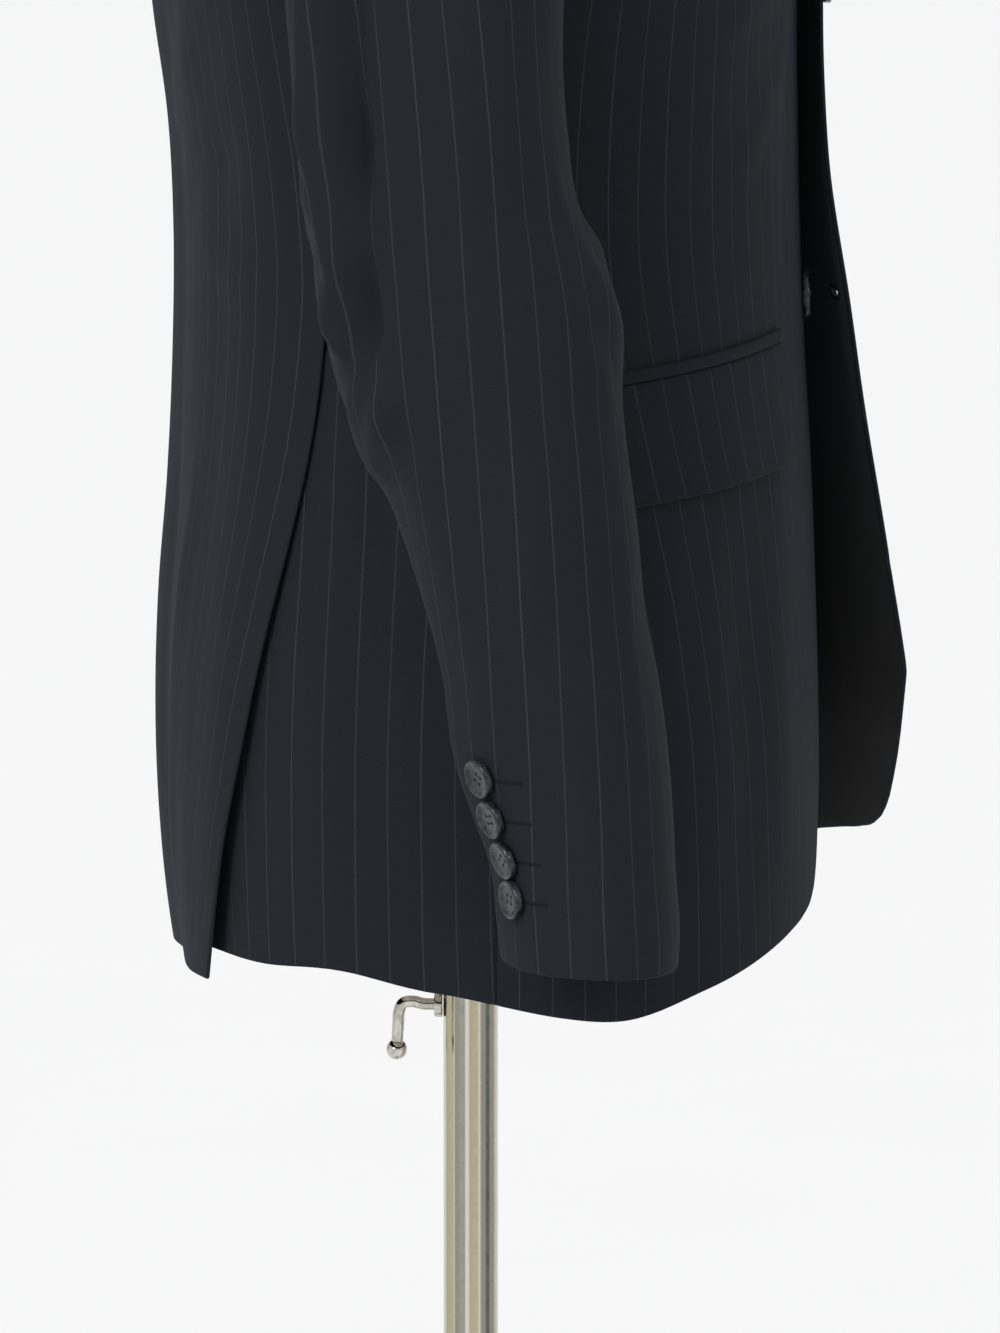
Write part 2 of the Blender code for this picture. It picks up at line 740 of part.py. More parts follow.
def make_collar(parent):
    """Stand and fall in one wall, from the left notch round the back of the neck to the right one."""

    def surface(column, row):
        place = min(abs(column), 1.0)
        side = 1 if column >= 0 else -1
        fold_x, fold_y = COLLAR(place, "fold_x"), COLLAR(place, "fold_y")
        fold_z = roof_height(fold_x, fold_y) + COLLAR_LIFT + COLLAR(place, "fold_rise")
        if row < COLLAR_STAND:
            seam_x, seam_y = COLLAR(place, "seam_x"), COLLAR(place, "seam_y")
            seam_z = roof_height(seam_x, seam_y) + COLLAR_SEAM_RISE
            share = row / COLLAR_STAND
            x, y = blend(seam_x, fold_x, share), blend(seam_y, fold_y, share)
            return np.array([side * x, y, blend(seam_z, fold_z, share)])
        share = (row - COLLAR_STAND) / (1 - COLLAR_STAND)
        x = blend(fold_x, COLLAR(place, "edge_x"), share)
        y = blend(fold_y, COLLAR(place, "edge_y"), share)
        dip = (2 * share) ** 1.7 if 0 < share < 0.5 else 2 * min(1 - share, share)
        y -= NOTCH_DIP * dip * ease((place - 0.8) / 0.2)
        rise = COLLAR(place, "fold_rise") * max(1 - share, 0.0) ** 3
        return np.array([side * x, y, roof_height(x, y) + COLLAR_LIFT + rise])

    columns = [number / COLLAR_COLUMNS * 2 - 1 for number in range(COLLAR_COLUMNS + 1)]
    wall("collar", surface, columns, COLLAR_ROWS, parent, step_row=3e-3)


def fold_depth(degrees, height):
    """Relief of the creases behind the elbow, out from the sleeve's smooth form."""
    total = 0.0
    for fold in ELBOW_FOLDS:
        away = degrees - fold["degrees"]
        rise = (height - fold["height"] - fold["slope"] * away) / fold["width"]
        fade = math.exp(-((away / fold["length"]) ** 2) - rise * rise)
        total += fold["depth"] * fade * math.cos(1.5 * rise)
    return total


def sleeve_ring_point(side, degrees, height):
    """A point of the sleeve below the armhole: 0 degrees is its front, 90 its outer side and 180 its back."""
    angle = math.radians(degrees)
    power = 2 / SLEEVE_POWER
    relief = fold_depth(degrees % 360, height)
    sine, cosine = signed_power(math.sin(angle), power), signed_power(math.cos(angle), power)
    x = SLEEVE(height, "x") + (SLEEVE(height, "half_x") + relief) * sine
    y = -(SLEEVE(height, "half_y") + relief) * cosine
    return np.array([side * x, y + SLEEVE(height, "y"), height + SLEEVE_TILT * y])


def armhole_point(side, degrees):
    """A point of the sleeve's upper edge, just inside the armhole, for an angle round the sleeve."""
    from_inner = (degrees - 270) % 360
    at_front = from_inner <= 180
    turn = from_inner / 180 if at_front else (360 - from_inner) / 180
    spread = armhole_spread(turn)
    height = armhole_height(turn)
    point = torso_point(90 - spread if at_front else 90 + spread, height, side)
    if at_front:
        point[1] -= forward(side, point[0] * side, height)
    centre = np.array([point[0], 0.0, ARMPIT_Z + ARMHOLE_HEIGHT / 2])
    inward = centre - point
    return point + inward / np.linalg.norm(inward) * INTO_ARMHOLE


def sleeve_surface(side):
    """Columns are degrees round the sleeve, rows count down from the armhole to the cuff."""
    heights = [SLEEVE_TOP] * CAP_ROWS + SLEEVE_ROWS
    last = len(heights) - 1

    def surface(degrees, row):
        row = min(max(row, 0.0), last)
        if row >= CAP_ROWS:
            return sleeve_ring_point(side, degrees, np.interp(row, range(last + 1), heights))
        start = armhole_point(side, degrees)
        end = sleeve_ring_point(side, degrees, SLEEVE_TOP)
        length = np.linalg.norm(end - start)
        upper = max(math.sin(math.radians(degrees)), 0.0)
        out = np.array([side * 1.0, 0.0, HEAD_RISE * upper])
        first = start + out * length * 0.34
        second = end + np.array([0.0, 0.0, 1.0]) * length * 0.42
        share = row / CAP_ROWS
        rest = 1 - share
        return rest**3 * start + 3 * rest**2 * share * first + 3 * rest * share**2 * second + share**3 * end

    return surface, range(last + 1)


def make_sleeves(parent):
    """Columns meet the points of the body round the armhole, and the two parts meet at the sleeve's seams."""
    low_front = [low_turn(spread) for spread in UNDER_SPREADS]
    low_back = [low_turn(spread) for spread in UNDER_BACK_SPREADS] + [armhole_turn(BACK_SEAM_TOP)]
    upper_front = [turn for turn in SLEEVE_TURNS if turn >= FRONT_SEAM_TURN]
    under_front = [turn for turn in SLEEVE_TURNS if turn <= FRONT_SEAM_TURN]
    upper = [180 * turn - 90 for turn in upper_front] + [270 - 180 * turn for turn in SLEEVE_BACK_TURNS]
    under = [270 + 180 * turn for turn in under_front + low_front]
    under += [270 - 180 * turn for turn in low_back + [BACK_SEAM_TURN]]
    upper, under = sorted(set(upper)), sorted(set(under))
    for columns in (upper, under):
        columns[0] += SLEEVE_GAP_DEGREES / 2
        columns[-1] -= SLEEVE_GAP_DEGREES / 2
    for word, side in SIDES.items():
        surface, rows = sleeve_surface(side)
        wall(f"sleeve_top_{word}", surface, upper, rows, parent)
        wall(f"sleeve_under_{word}", surface, under, rows, parent)


def make_pockets(parent):
    """A jet with a flap below it on each front, higher at its front end."""
    columns = [0, 0.02, 0.05, 0.1, 0.2, 0.32, 0.44, 0.56, 0.68, 0.8, 0.9, 0.95, 0.98, 1]
    for word, side in SIDES.items():

        def on_pocket(column, drop, lift, side=side):
            degrees = blend(POCKET_FRONT_DEGREES, POCKET_BACK_DEGREES, column)
            height = blend(POCKET_FRONT_Z, POCKET_BACK_Z, column) - drop
            return on_front(side, degrees, height, lift)

        def jet(column, row):
            return on_pocket(column, JET_HEIGHT * row, ON_PANEL)

        def flap(column, row):
            from_end = min(column, 1 - column)
            short = 1 - min(max(from_end, 0.0) / FLAP_CORNER, 1.0)
            length = FLAP_HEIGHT * (1 - 0.16 * short**3)
            return on_pocket(column, JET_HEIGHT + GAP + length * row, ON_PANEL + FLAP_STAND_OFF * row)

        jet_columns = [0, *columns[3:-3], 1]
        wall(f"pocket_jet_{word}", jet, jet_columns, [0, 0.5, 1], parent)
        wall(f"pocket_flap_{word}", flap, columns, [0, 0.3, 0.6, 0.85, 1], parent)


def turned(name, profile, segments, look, parent=None, closed=False, shape=None, place=None):
    """A profile of (radius, height) turned round +Z: from axis to axis, or closed for a hollow piece."""
    points, rings = [], []
    for radius, height in profile:
        count = 1 if radius == 0 else segments
        rings.append(range(len(points), len(points) + count))
        for number in range(count):
            angle = 2 * math.pi * number / segments
            reach = shape(radius, angle) if shape else radius
            points.append(Vector((reach * math.cos(angle), reach * math.sin(angle), height)))
    faces = []
    pairs = list(zip(rings, rings[1:] + rings[:1])) if closed else list(zip(rings, rings[1:]))
    for low, high in pairs:
        for number in range(segments):
            after = (number + 1) % segments
            if len(low) == 1:
                faces.append([low[0], high[after], high[number]])
            elif len(high) == 1:
                faces.append([low[number], low[after], high[0]])
            else:
                faces.append([low[number], low[after], high[after], high[number]])
    if place:
        points = [place @ point for point in points]
    make(name, points, faces, look, parent)


def button(name, seat, normal, radius, height, parent):
    """A flat button with a raised rim, its underside at the seat."""
    profile = [
        (0, 0),
        (radius * 0.88, 0),
        (radius, height * 0.5),
        (radius * 0.84, height),
        (radius * 0.62, height * 0.60),
        (0, height * 0.56),
    ]
    turn = Vector(normal).to_track_quat("Z", "Y").to_matrix().to_4x4()
    place = Matrix.Translation(Vector(seat)) @ turn
    turned(name, profile, BUTTON_SEGMENTS, HORN, parent, place=place)


def make_buttons(parent):
    lift = CLOTH / 2 + GAP
    for name, side, height in (("button_top", LEFT, TOP_BUTTON_Z), ("button_low", RIGHT, LOW_BUTTON_Z)):
        seat = on_front(side, 0.0, height, lift)
        normal = seat - front_middle(side, 0.0, height)
        button(name, seat, normal, FRONT_BUTTON_RADIUS, FRONT_BUTTON_HEIGHT, parent)
    for word, side in SIDES.items():
        for number, (height, degrees) in enumerate(zip(CUFF_BUTTON_HEIGHTS, CUFF_BUTTON_DEGREES), 1):

            def sleeve(a, b, side=side):
                return sleeve_ring_point(side, a, b)

            normal = facing(sleeve, degrees, height, 0.2, 0.001)
            if normal[0] * side < 0:
                normal = -normal
            seat = sleeve(degrees, height) + normal * (lift + 0.0005)
            name = f"cuff_button_{word}_{number}"
            button(name, seat, normal, CUFF_BUTTON_RADIUS, CUFF_BUTTON_HEIGHT, parent)


def sides_of(ring_count, count):
    """Faces between rings of points, one ring after the other."""
    faces = []
    for start in range(0, (ring_count - 1) * count, count):
        for number in range(count):
            after = (number + 1) % count
            faces.append([start + number, start + after, start + count + after, start + count + number])
    return faces


def form_ring(height):
    """A ring of the dress form, inside the jacket's torso and drawn in to the neck at the top."""
    inset = FORM_INSET(height, "inset")
    low = min(height, NECK_Z - 0.004)
    power = TORSO(low, "power")
    full = TORSO(low, "half_width") - inset
    line = NECK_X + (NECK_Z - FORM_SHOULDER_DROP - low) / SHOULDER_SLOPE
    half = min(full, line)
    to_neck = ease((height - FORM_NECK_FROM) / (FORM_NECK_FULL - FORM_NECK_FROM))
    points = []
    for number in range(FORM_POINTS):
        angle = 2 * math.pi * number / FORM_POINTS
        sine, cosine = math.sin(angle), math.cos(angle)
        x = half * signed_power(sine, 2 / power)
        reach = TORSO(low, "front" if cosine > 0 else "back") - inset
        depth = reach * max(1 - (abs(x) / full) ** power, 0.0) ** (1 / power)
        y = -depth if cosine > 0 else depth
        y = blend(SHOULDER_Y, y, closing(abs(x), low, FORM_SHOULDER_DROP))
        neck_x, neck_y = FORM_NECK_X * sine, -FORM_NECK_Y * cosine
        shrink = 1 if height < FORM_ROWS[-1] else 0.93
        points.append((blend(x, neck_x, to_neck) * shrink, blend(y, neck_y, to_neck) * shrink, height))
    return points


def make_form(parent):
    rings = [form_ring(height) for height in FORM_ROWS]
    points = [point for ring in rings for point in ring]
    faces = sides_of(len(rings), FORM_POINTS)
    faces.append(list(range(FORM_POINTS))[::-1])
    faces.append(list(range(len(points) - FORM_POINTS, len(points))))
    make("dress_form", points, faces, CANVAS, parent)


def make_stand(moving):
    """Base, fluted outer tube and clamp nut, with the inner tube and its stop on the moving part."""
    base = [
        (0, 0),
        (BASE_RADIUS, 0),
        (BASE_RADIUS, BASE_RIM),
        (0.060, 0.0090),
        (SOCKET_RADIUS, 0.0200),
        (SOCKET_RADIUS, SOCKET_HEIGHT),
        (POLE_RADIUS + GAP, SOCKET_HEIGHT),
        (POLE_RADIUS + GAP, SOCKET_FLOOR),
        (0, SOCKET_FLOOR),
    ]
    turned("stand_base", base, BASE_SEGMENTS, CHROME)

    def fluted(radius, angle):
        if radius < POLE_RADIUS:
            return radius
        return radius - FLUTE_DEPTH * (0.5 - 0.5 * math.cos(FLUTE_COUNT * angle))

    tube = [
        (POLE_RADIUS, SOCKET_FLOOR + GAP),
        (POLE_RADIUS, POLE_TOP),
        (POLE_BORE, POLE_TOP),
        (POLE_BORE, SOCKET_FLOOR + GAP),
    ]
    turned("stand_tube", tube, POLE_SEGMENTS, CHROME, closed=True, shape=fluted)

    inner_top = FORM_BOTTOM - GAP
    inner_bottom = inner_top - INNER_LENGTH
    inner = [(0, inner_bottom), (INNER_RADIUS, inner_bottom), (INNER_RADIUS, inner_top), (0, inner_top)]
    turned("inner_tube", inner, POLE_SEGMENTS, CHROME, moving)
    stop = [
        (STOP_RADIUS, POLE_TOP + GAP),
        (STOP_RADIUS, POLE_TOP + STOP_HEIGHT),
        (INNER_RADIUS + GAP, POLE_TOP + STOP_HEIGHT),
        (INNER_RADIUS + GAP, POLE_TOP + GAP),
    ]
    turned("stop_collar", stop, 24, CHROME, moving, closed=True)

    to_back = Matrix.Translation((0, 0, CLAMP_Z)) @ Matrix.Rotation(math.radians(-90), 4, "X")
    nut_from = POLE_RADIUS + GAP
    nut = [
        (NUT_RADIUS, nut_from),
        (NUT_RADIUS, nut_from + NUT_HEIGHT),
        (ROD_RADIUS + GAP, nut_from + NUT_HEIGHT),
        (ROD_RADIUS + GAP, nut_from),
    ]
    turned("clamp_nut", nut, 24, CHROME, closed=True, place=to_back)


def make_handle(parent):
    """The clamp's bent rod with its ball, swept along a route in the plane x = 0."""
    route = Table("step y z", [(number, y, z) for number, (y, z) in enumerate(HANDLE_ROUTE)])
    last = len(HANDLE_ROUTE) - 1
    steps = [0, 1, 1.6, 2.1, 2.6, 3.1, 3.6, 4.2, 5.1]
    end = np.array([0.0, route(last, "y"), route(last, "z")])
    rings = []
    for step in steps:
        centre = np.array([0.0, route(step, "y"), route(step, "z")])
        ahead = np.array([0.0, route(step + 0.01, "y"), route(step + 0.01, "z")]) - centre
        rings.append((centre, ahead / np.linalg.norm(ahead), ROD_RADIUS))
    way = rings[-1][1]
    for turn in (145, 115, 85, 55, 28):
        angle = math.radians(turn)
        rings.append((end + way * BALL_RADIUS * math.cos(angle), way, BALL_RADIUS * math.sin(angle)))
    count = 12
    points = []
    for centre, ahead, radius in rings:
        up = np.array([0.0, -ahead[2], ahead[1]])
        for number in range(count):
            angle = 2 * math.pi * number / count
            sideways = np.array([1.0, 0.0, 0.0]) * math.cos(angle) + up * math.sin(angle)
            points.append(centre + sideways * radius)
    faces = sides_of(len(rings), count)
    faces.append(list(range(count))[::-1])
    tip = len(points)
    points.append(end + way * BALL_RADIUS)
    for number in range(count):
        faces.append([tip - count + number, tip - count + (number + 1) % count, tip])
    make("clamp_handle", points, faces, CHROME, parent, origin=(0, NUT_RADIUS + POLE_RADIUS, CLAMP_Z))


def main():
    for piece in list(bpy.data.objects):
        bpy.data.objects.remove(piece, do_unlink=True)
    moving = bpy.data.objects.new("form_slide", None)
    moving.location = (0, 0, POLE_TOP)
    bpy.context.scene.collection.objects.link(moving)
    make_body(moving)
    make_lapels(moving)
    make_collar(moving)
    make_sleeves(moving)
    make_pockets(moving)
    make_buttons(moving)
    make_form(moving)
    make_stand(moving)
    make_handle(None)


main()
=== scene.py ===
"""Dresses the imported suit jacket, its dress form and its stand in cloth, horn, canvas and chrome.

Lengths are in metres. The front of the jacket faces -Y and the wearer's left is +X. Places on the body of the
jacket are angles round the torso: 0 degrees is the centre of the front, 90 the side and 180 the centre back.
"""

import json
import math

import bpy
import numpy as np
from mathutils import Matrix, Vector


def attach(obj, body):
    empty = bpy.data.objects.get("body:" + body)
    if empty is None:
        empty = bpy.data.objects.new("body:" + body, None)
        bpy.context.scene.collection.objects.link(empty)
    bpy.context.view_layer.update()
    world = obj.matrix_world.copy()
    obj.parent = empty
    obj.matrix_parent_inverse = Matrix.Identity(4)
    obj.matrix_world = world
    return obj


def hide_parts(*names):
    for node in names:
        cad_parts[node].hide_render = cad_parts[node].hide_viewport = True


bl_info = {
    "name": "Suit jacket on a dress form",
    "version": (1, 0, 0),
    "blender": (4, 5, 0),
    "location": "View3D > Sidebar > Jacket",
    "description": "Makes the cloth, buttons, form and stand of a two-button suit jacket, and a plain stage",
    "category": "Object",
}

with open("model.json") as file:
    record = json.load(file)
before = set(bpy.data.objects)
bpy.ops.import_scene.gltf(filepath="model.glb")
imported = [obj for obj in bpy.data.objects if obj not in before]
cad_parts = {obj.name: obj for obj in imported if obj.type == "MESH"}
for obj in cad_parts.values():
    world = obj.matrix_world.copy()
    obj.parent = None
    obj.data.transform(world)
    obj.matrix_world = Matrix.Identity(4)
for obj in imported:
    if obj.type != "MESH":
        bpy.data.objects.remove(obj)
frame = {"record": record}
SLOTS = {entry["slot"]: entry["base_color"] for entry in frame["record"]["materials"]}
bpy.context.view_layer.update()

LEFT = 1
RIGHT = -1
SIDES = {"left": LEFT, "right": RIGHT}

CLOTH = 0.0016
GAP = 0.0003
ON_PANEL = CLOTH + 0.0004


# ---------------------------------------------------------------- curves and tables


def blend(start, end, share):
    return start + (end - start) * share


def ease(share):
    """0 below 0, 1 above 1 and a smooth step between them."""
    share = np.clip(share, 0.0, 1.0)
    return share * share * (3 - 2 * share)


def signed_power(value, power):
    return np.sign(value) * np.abs(value) ** power


class Table:
    """Rows with named columns. The first column is a place, and a smooth curve is read between the rows."""

    def __init__(self, columns, rows):
        self.columns = columns.split()
        self.rows = np.array(rows, float)
        self.places = self.rows[:, 0]
        self.slopes = np.gradient(self.rows, self.places, axis=0)

    def __call__(self, place, column):
        number = self.columns.index(column)
        place = np.clip(place, self.places[0], self.places[-1])
        below = np.clip(np.searchsorted(self.places, place) - 1, 0, len(self.places) - 2)
        step = self.places[below + 1] - self.places[below]
        share = (place - self.places[below]) / step
        start, end = self.rows[below, number], self.rows[below + 1, number]
        start_slope, end_slope = self.slopes[below, number], self.slopes[below + 1, number]
        return (
            start * (1 + 2 * share) * (1 - share) ** 2
            + start_slope * step * share * (1 - share) ** 2
            + end * share**2 * (3 - 2 * share)
            + end_slope * step * share**2 * (share - 1)
        )


TORSO = Table(
    "height half_width front back power",
    [
        (0.75, 0.206, 0.1405, 0.115, 2.5),
        (0.78, 0.206, 0.1405, 0.1195, 2.5),
        (0.82, 0.205, 0.14, 0.123, 2.5),
        (0.86, 0.203, 0.1388, 0.124, 2.5),
        (0.9, 0.197, 0.1372, 0.123, 2.45),
        (0.95, 0.186, 0.135, 0.1192, 2.4),
        (1.0, 0.174, 0.132, 0.117, 2.4),
        (1.045, 0.167, 0.13, 0.1165, 2.4),
        (1.09, 0.169, 0.1285, 0.1185, 2.4),
        (1.136, 0.1755, 0.1275, 0.1245, 2.4),
        (1.2, 0.188, 0.131, 0.129, 2.4),
        (1.26, 0.198, 0.133, 0.13, 2.4),
        (1.32, 0.207, 0.129, 0.127, 2.45),
        (1.38, 0.215, 0.117, 0.117, 2.5),
        (1.43, 0.222, 0.102, 0.104, 2.5),
        (1.48, 0.226, 0.09, 0.09, 2.5),
    ],
)
CLOSE_FROM = 1.28
CLOSE_POWER = 2.2
NECK_X = 0.078
NECK_Z = 1.478
NECK_RISE = 1.2
SHOULDER_SLOPE = 0.379
SHOULDER_Y = 0.006
BACK_NECK_Z = 1.468
ARMPIT_Z = 1.204
ARMHOLE_HEIGHT = 0.221
ARMHOLE_LEAN = 10.0
ARMHOLE_SPREAD = 27.0
BREAK_Z = 1.165
ROLL_SLOPE = 0.313
EDGE = Table(
    "height beyond",
    [
        (0.8, -0.047),
        (0.806, -0.0435),
        (0.815, -0.0385),
        (0.83, -0.03),
        (0.86, -0.0165),
        (0.9, -0.003),
        (0.94, 0.007),
        (0.98, 0.014),
        (1.02, 0.0185),
        (1.06, 0.02),
        (BREAK_Z, 0.02),
    ],
)
FRONT_HEM = Table(
    "degrees height",
    [
        (9.0, 0.8),
        (10.5, 0.7925),
        (13.0, 0.7868),
        (18.0, 0.7822),
        (24.0, 0.779),
        (32.0, 0.7748),
        (49.0, 0.766),
        (66.0, 0.7575),
        (76.0, 0.7605),
        (84.0, 0.7655),
        (92.0, 0.7715),
        (101.0, 0.777),
        (119.0, 0.7775),
        (150.0, 0.776),
    ],
)
CORNER_DEGREES = 9.0
LEFT_FRONT_LIFT = 0.0145
TOP_BUTTON_Z = 1.145
LOW_BUTTON_Z = 1.02
BUTTON_PULL = {LEFT: 0.0055, RIGHT: 0.0012}
PULL_WIDTH = 0.045
PULL_HEIGHT = 0.05
LAP_POWER = 0.55
EDGE_FLARE = 0.006
LAP = Table(
    "height forward",
    [
        (0.78, 0.034),
        (0.82, 0.0372),
        (0.86, 0.036),
        (0.912, 0.0305),
        (0.96, 0.025),
        (1.02, 0.0195),
        (1.076, 0.0115),
        (1.11, 0.0085),
        (1.145, 0.007),
        (1.23, 0.0068),
        (1.3, 0.002),
        (1.36, 0.0),
    ],
)
SIDE_SEAM_DEGREES = 84.0
BACK_SEAM = Table(
    "height depth",
    [
        (0.762, 0.09),
        (0.798, 0.084),
        (0.824, 0.0795),
        (0.851, 0.0735),
        (0.884, 0.067),
        (0.932, 0.056),
        (0.975, 0.0475),
        (1.012, 0.0435),
        (1.06, 0.0455),
        (1.12, 0.054),
        (1.2, 0.066),
        (1.28, 0.0723),
    ],
)
BACK_SEAM_TOP = 1.28
VENT_TOP = 1.012
UNDERLAP_DEGREES = 15.0
UNDERLAP_SINK = 0.001
BACK_HEM_Z = 0.763
FLAP_EDGE_DROP = 0.004
VENT_FLAP = Table(
    "height out",
    [
        (0.76, 0.0085),
        (0.82, 0.0065),
        (0.9, 0.0038),
        (0.98, 0.0018),
        (1.012, 0.0015),
        (1.036, 0.0),
        (1.06, 0.0),
    ],
)
SLEEVE = Table(
    "height y half_y x half_x",
    [
        (0.79, -0.0603, 0.032, 0.251, 0.0465),
        (0.804, -0.0598, 0.033, 0.2515, 0.047),
        (0.826, -0.0578, 0.0334, 0.2525, 0.0478),
        (0.8447, -0.054, 0.0362, 0.2535, 0.0485),
        (0.8666, -0.0497, 0.0388, 0.255, 0.049),
        (0.896, -0.0457, 0.0391, 0.2565, 0.05),
        (0.9215, -0.0402, 0.0398, 0.258, 0.0505),
        (0.951, -0.0345, 0.043, 0.2595, 0.0515),
        (0.998, -0.0213, 0.0505, 0.261, 0.053),
        (1.039, -0.0155, 0.054, 0.2605, 0.0545),
        (1.053, -0.0115, 0.052, 0.26, 0.055),
        (1.0716, -0.006, 0.0493, 0.259, 0.0555),
        (1.097, -0.0025, 0.049, 0.2575, 0.0555),
        (1.145, 0.0, 0.05, 0.253, 0.0555),
        (1.19, 0.001, 0.056, 0.248, 0.0548),
    ],
)
SLEEVE_POWER = 2.15
SLEEVE_TILT = 0.06
SLEEVE_TOP = 1.19
INTO_ARMHOLE = 0.0003
HEAD_RISE = 0.16
CUFF_Z = 0.79
TOP_SLEEVE_DEGREES = (-34.2, 185.4)
UNDER_SLEEVE_DEGREES = (185.4, 325.8)
ELBOW_FOLDS = [
    # degrees and height of the middle, height gained per degree, half length in degrees, half width, depth
    (163, 1.066, 0.0009, 24, 0.011, 0.0014),
    (160, 1.027, 0.0007, 20, 0.009, 0.0012),
    (150, 0.996, -0.0009, 22, 0.01, 0.0028),
    (196, 1.045, -0.0008, 26, 0.01, 0.0024),
]
SLEEVE_GRAIN = Table(
    "height y",
    [(0.79, -0.0445), (0.99, -0.0347), (1.146, -0.0219), (1.3, -0.006), (1.42, 0.006)],
)
LAPEL_TOP = 0.272
LAPEL_TIP = 0.247
LAPEL_WIDTH = 0.086
LAPEL_LIFT = ON_PANEL + 0.0004
COLLAR = Table(
    "place seam_x seam_y fold_x fold_y fold_rise edge_x edge_y",
    [
        (0.0, 0.0, 0.069, 0.0, 0.065, 0.029, 0.0, 0.088),
        (0.2, 0.035, 0.0615, 0.033, 0.058, 0.027, 0.042, 0.083),
        (0.4, 0.0625, 0.041, 0.0585, 0.039, 0.025, 0.084, 0.06),
        (0.6, 0.0765, 0.006, 0.073, 0.006, 0.019, 0.113, 0.008),
        (0.75, 0.073, -0.029, 0.0712, -0.03, 0.0115, 0.124, -0.024),
        (0.88, 0.067, -0.054, 0.0662, -0.0545, 0.0085, 0.129, -0.041),
        (1.0, 0.058, -0.0755, 0.058, -0.0755, 0.008, 0.13, -0.0545),
    ],
)
COLLAR_SEAM_RISE = 0.0022
COLLAR_LIFT = 0.0048
NOTCH_DIP = 0.0145
COLLAR_STAND = 0.35
POCKET_DEGREES = (22.0, 81.0)
POCKET_HEIGHTS = (1.0115, 0.9958)
JET_HEIGHT = 0.0048
FLAP_HEIGHT = 0.0465
FLAP_CORNER = 0.1
FLAP_STAND_OFF = 0.0012
FRONT_BUTTON = (0.01, 0.0032)
CUFF_BUTTON = (0.0073, 0.0028)
CUFF_BUTTON_HEIGHTS = (0.8622, 0.8472, 0.8322, 0.8172)
CUFF_BUTTON_DEGREES = (131.0, 131.5, 132.0, 132.5)
FORM_BOTTOM = 0.82
FORM_INSET = Table(
    "height inset",
    [
        (0.82, 0.03),
        (0.835, 0.018),
        (0.87, 0.014),
        (1.045, 0.012),
        (1.2, 0.009),
        (1.3, 0.0065),
        (1.48, 0.006),
    ],
)
FORM_SHOULDER_DROP = 0.0018
FORM_NECK_FROM = 1.44
FORM_NECK_FULL = 1.492
FORM_NECK_X = 0.052
FORM_NECK_Y = 0.054
FORM_TOP = 1.52
POLE_RADIUS = 0.011
POLE_TOP = 0.752
POLE_FOOT = 0.0123
FLUTE_DEPTH = 0.0007
INNER_RADIUS = 0.0087
CLAMP_Z = 0.7332
HANDLE_ROUTE = [
    (0.0113, CLAMP_Z),
    (0.019, CLAMP_Z),
    (0.0235, 0.7341),
    (0.0272, 0.7333),
    (0.0288, 0.73),
    (0.0292, 0.725),
    (0.0298, 0.7146),
]

# Soft ridges and troughs. Each one runs from a start to an end, given in degrees and height, bows to one side, and
# has a half width and a depth; a depth below 0 is a trough. They are the photo's on the right, and alike elsewhere.
BODY_METRES = 0.0031
BODY_CREASES = [
    # drawn to the fastened button
    (9, 1.152, 44, 1.116, 0.006, 0.0085, 0.001),
    (10, 1.134, 38, 1.07, -0.005, 0.009, 0.0008),
    (9, 1.166, 34, 1.205, 0.004, 0.009, 0.0009),
    (11, 1.118, 17, 1.03, 0.004, 0.008, -0.0008),
    # waist, below the arm and behind it
    (68, 1.062, 100, 1.044, 0.004, 0.0105, 0.0015),
    (76, 1.093, 112, 1.082, -0.004, 0.012, -0.0013),
    (64, 1.168, 90, 1.118, 0.006, 0.011, 0.0011),
    (128, 1.078, 160, 1.06, 0.005, 0.011, -0.0014),
    (120, 1.03, 148, 1.046, -0.004, 0.01, 0.001),
    (148, 1.116, 170, 1.088, 0.004, 0.0125, 0.0013),
    # back, from the waist up to the shoulder blade
    (138, 1.15, 148, 1.33, 0.01, 0.017, 0.002),
    (158, 1.13, 165, 1.3, -0.006, 0.015, -0.0015),
    # skirt
    (24, 0.98, 27, 0.8, 0.003, 0.015, 0.0011),
    (38, 0.93, 41, 0.785, -0.003, 0.018, -0.0014),
    (56, 0.94, 60, 0.79, 0.003, 0.017, 0.0013),
    (72, 0.9, 73, 0.78, 0.002, 0.014, -0.0011),
    (96, 0.985, 98, 0.8, 0.002, 0.014, -0.0011),
    (113, 0.93, 113, 0.79, 0.0, 0.012, 0.001),
    (150, 0.95, 157, 0.78, 0.003, 0.011, 0.0015),
    (166, 0.96, 169, 0.79, 0.0, 0.012, -0.0012),
]
SLEEVE_METRES = 0.00095
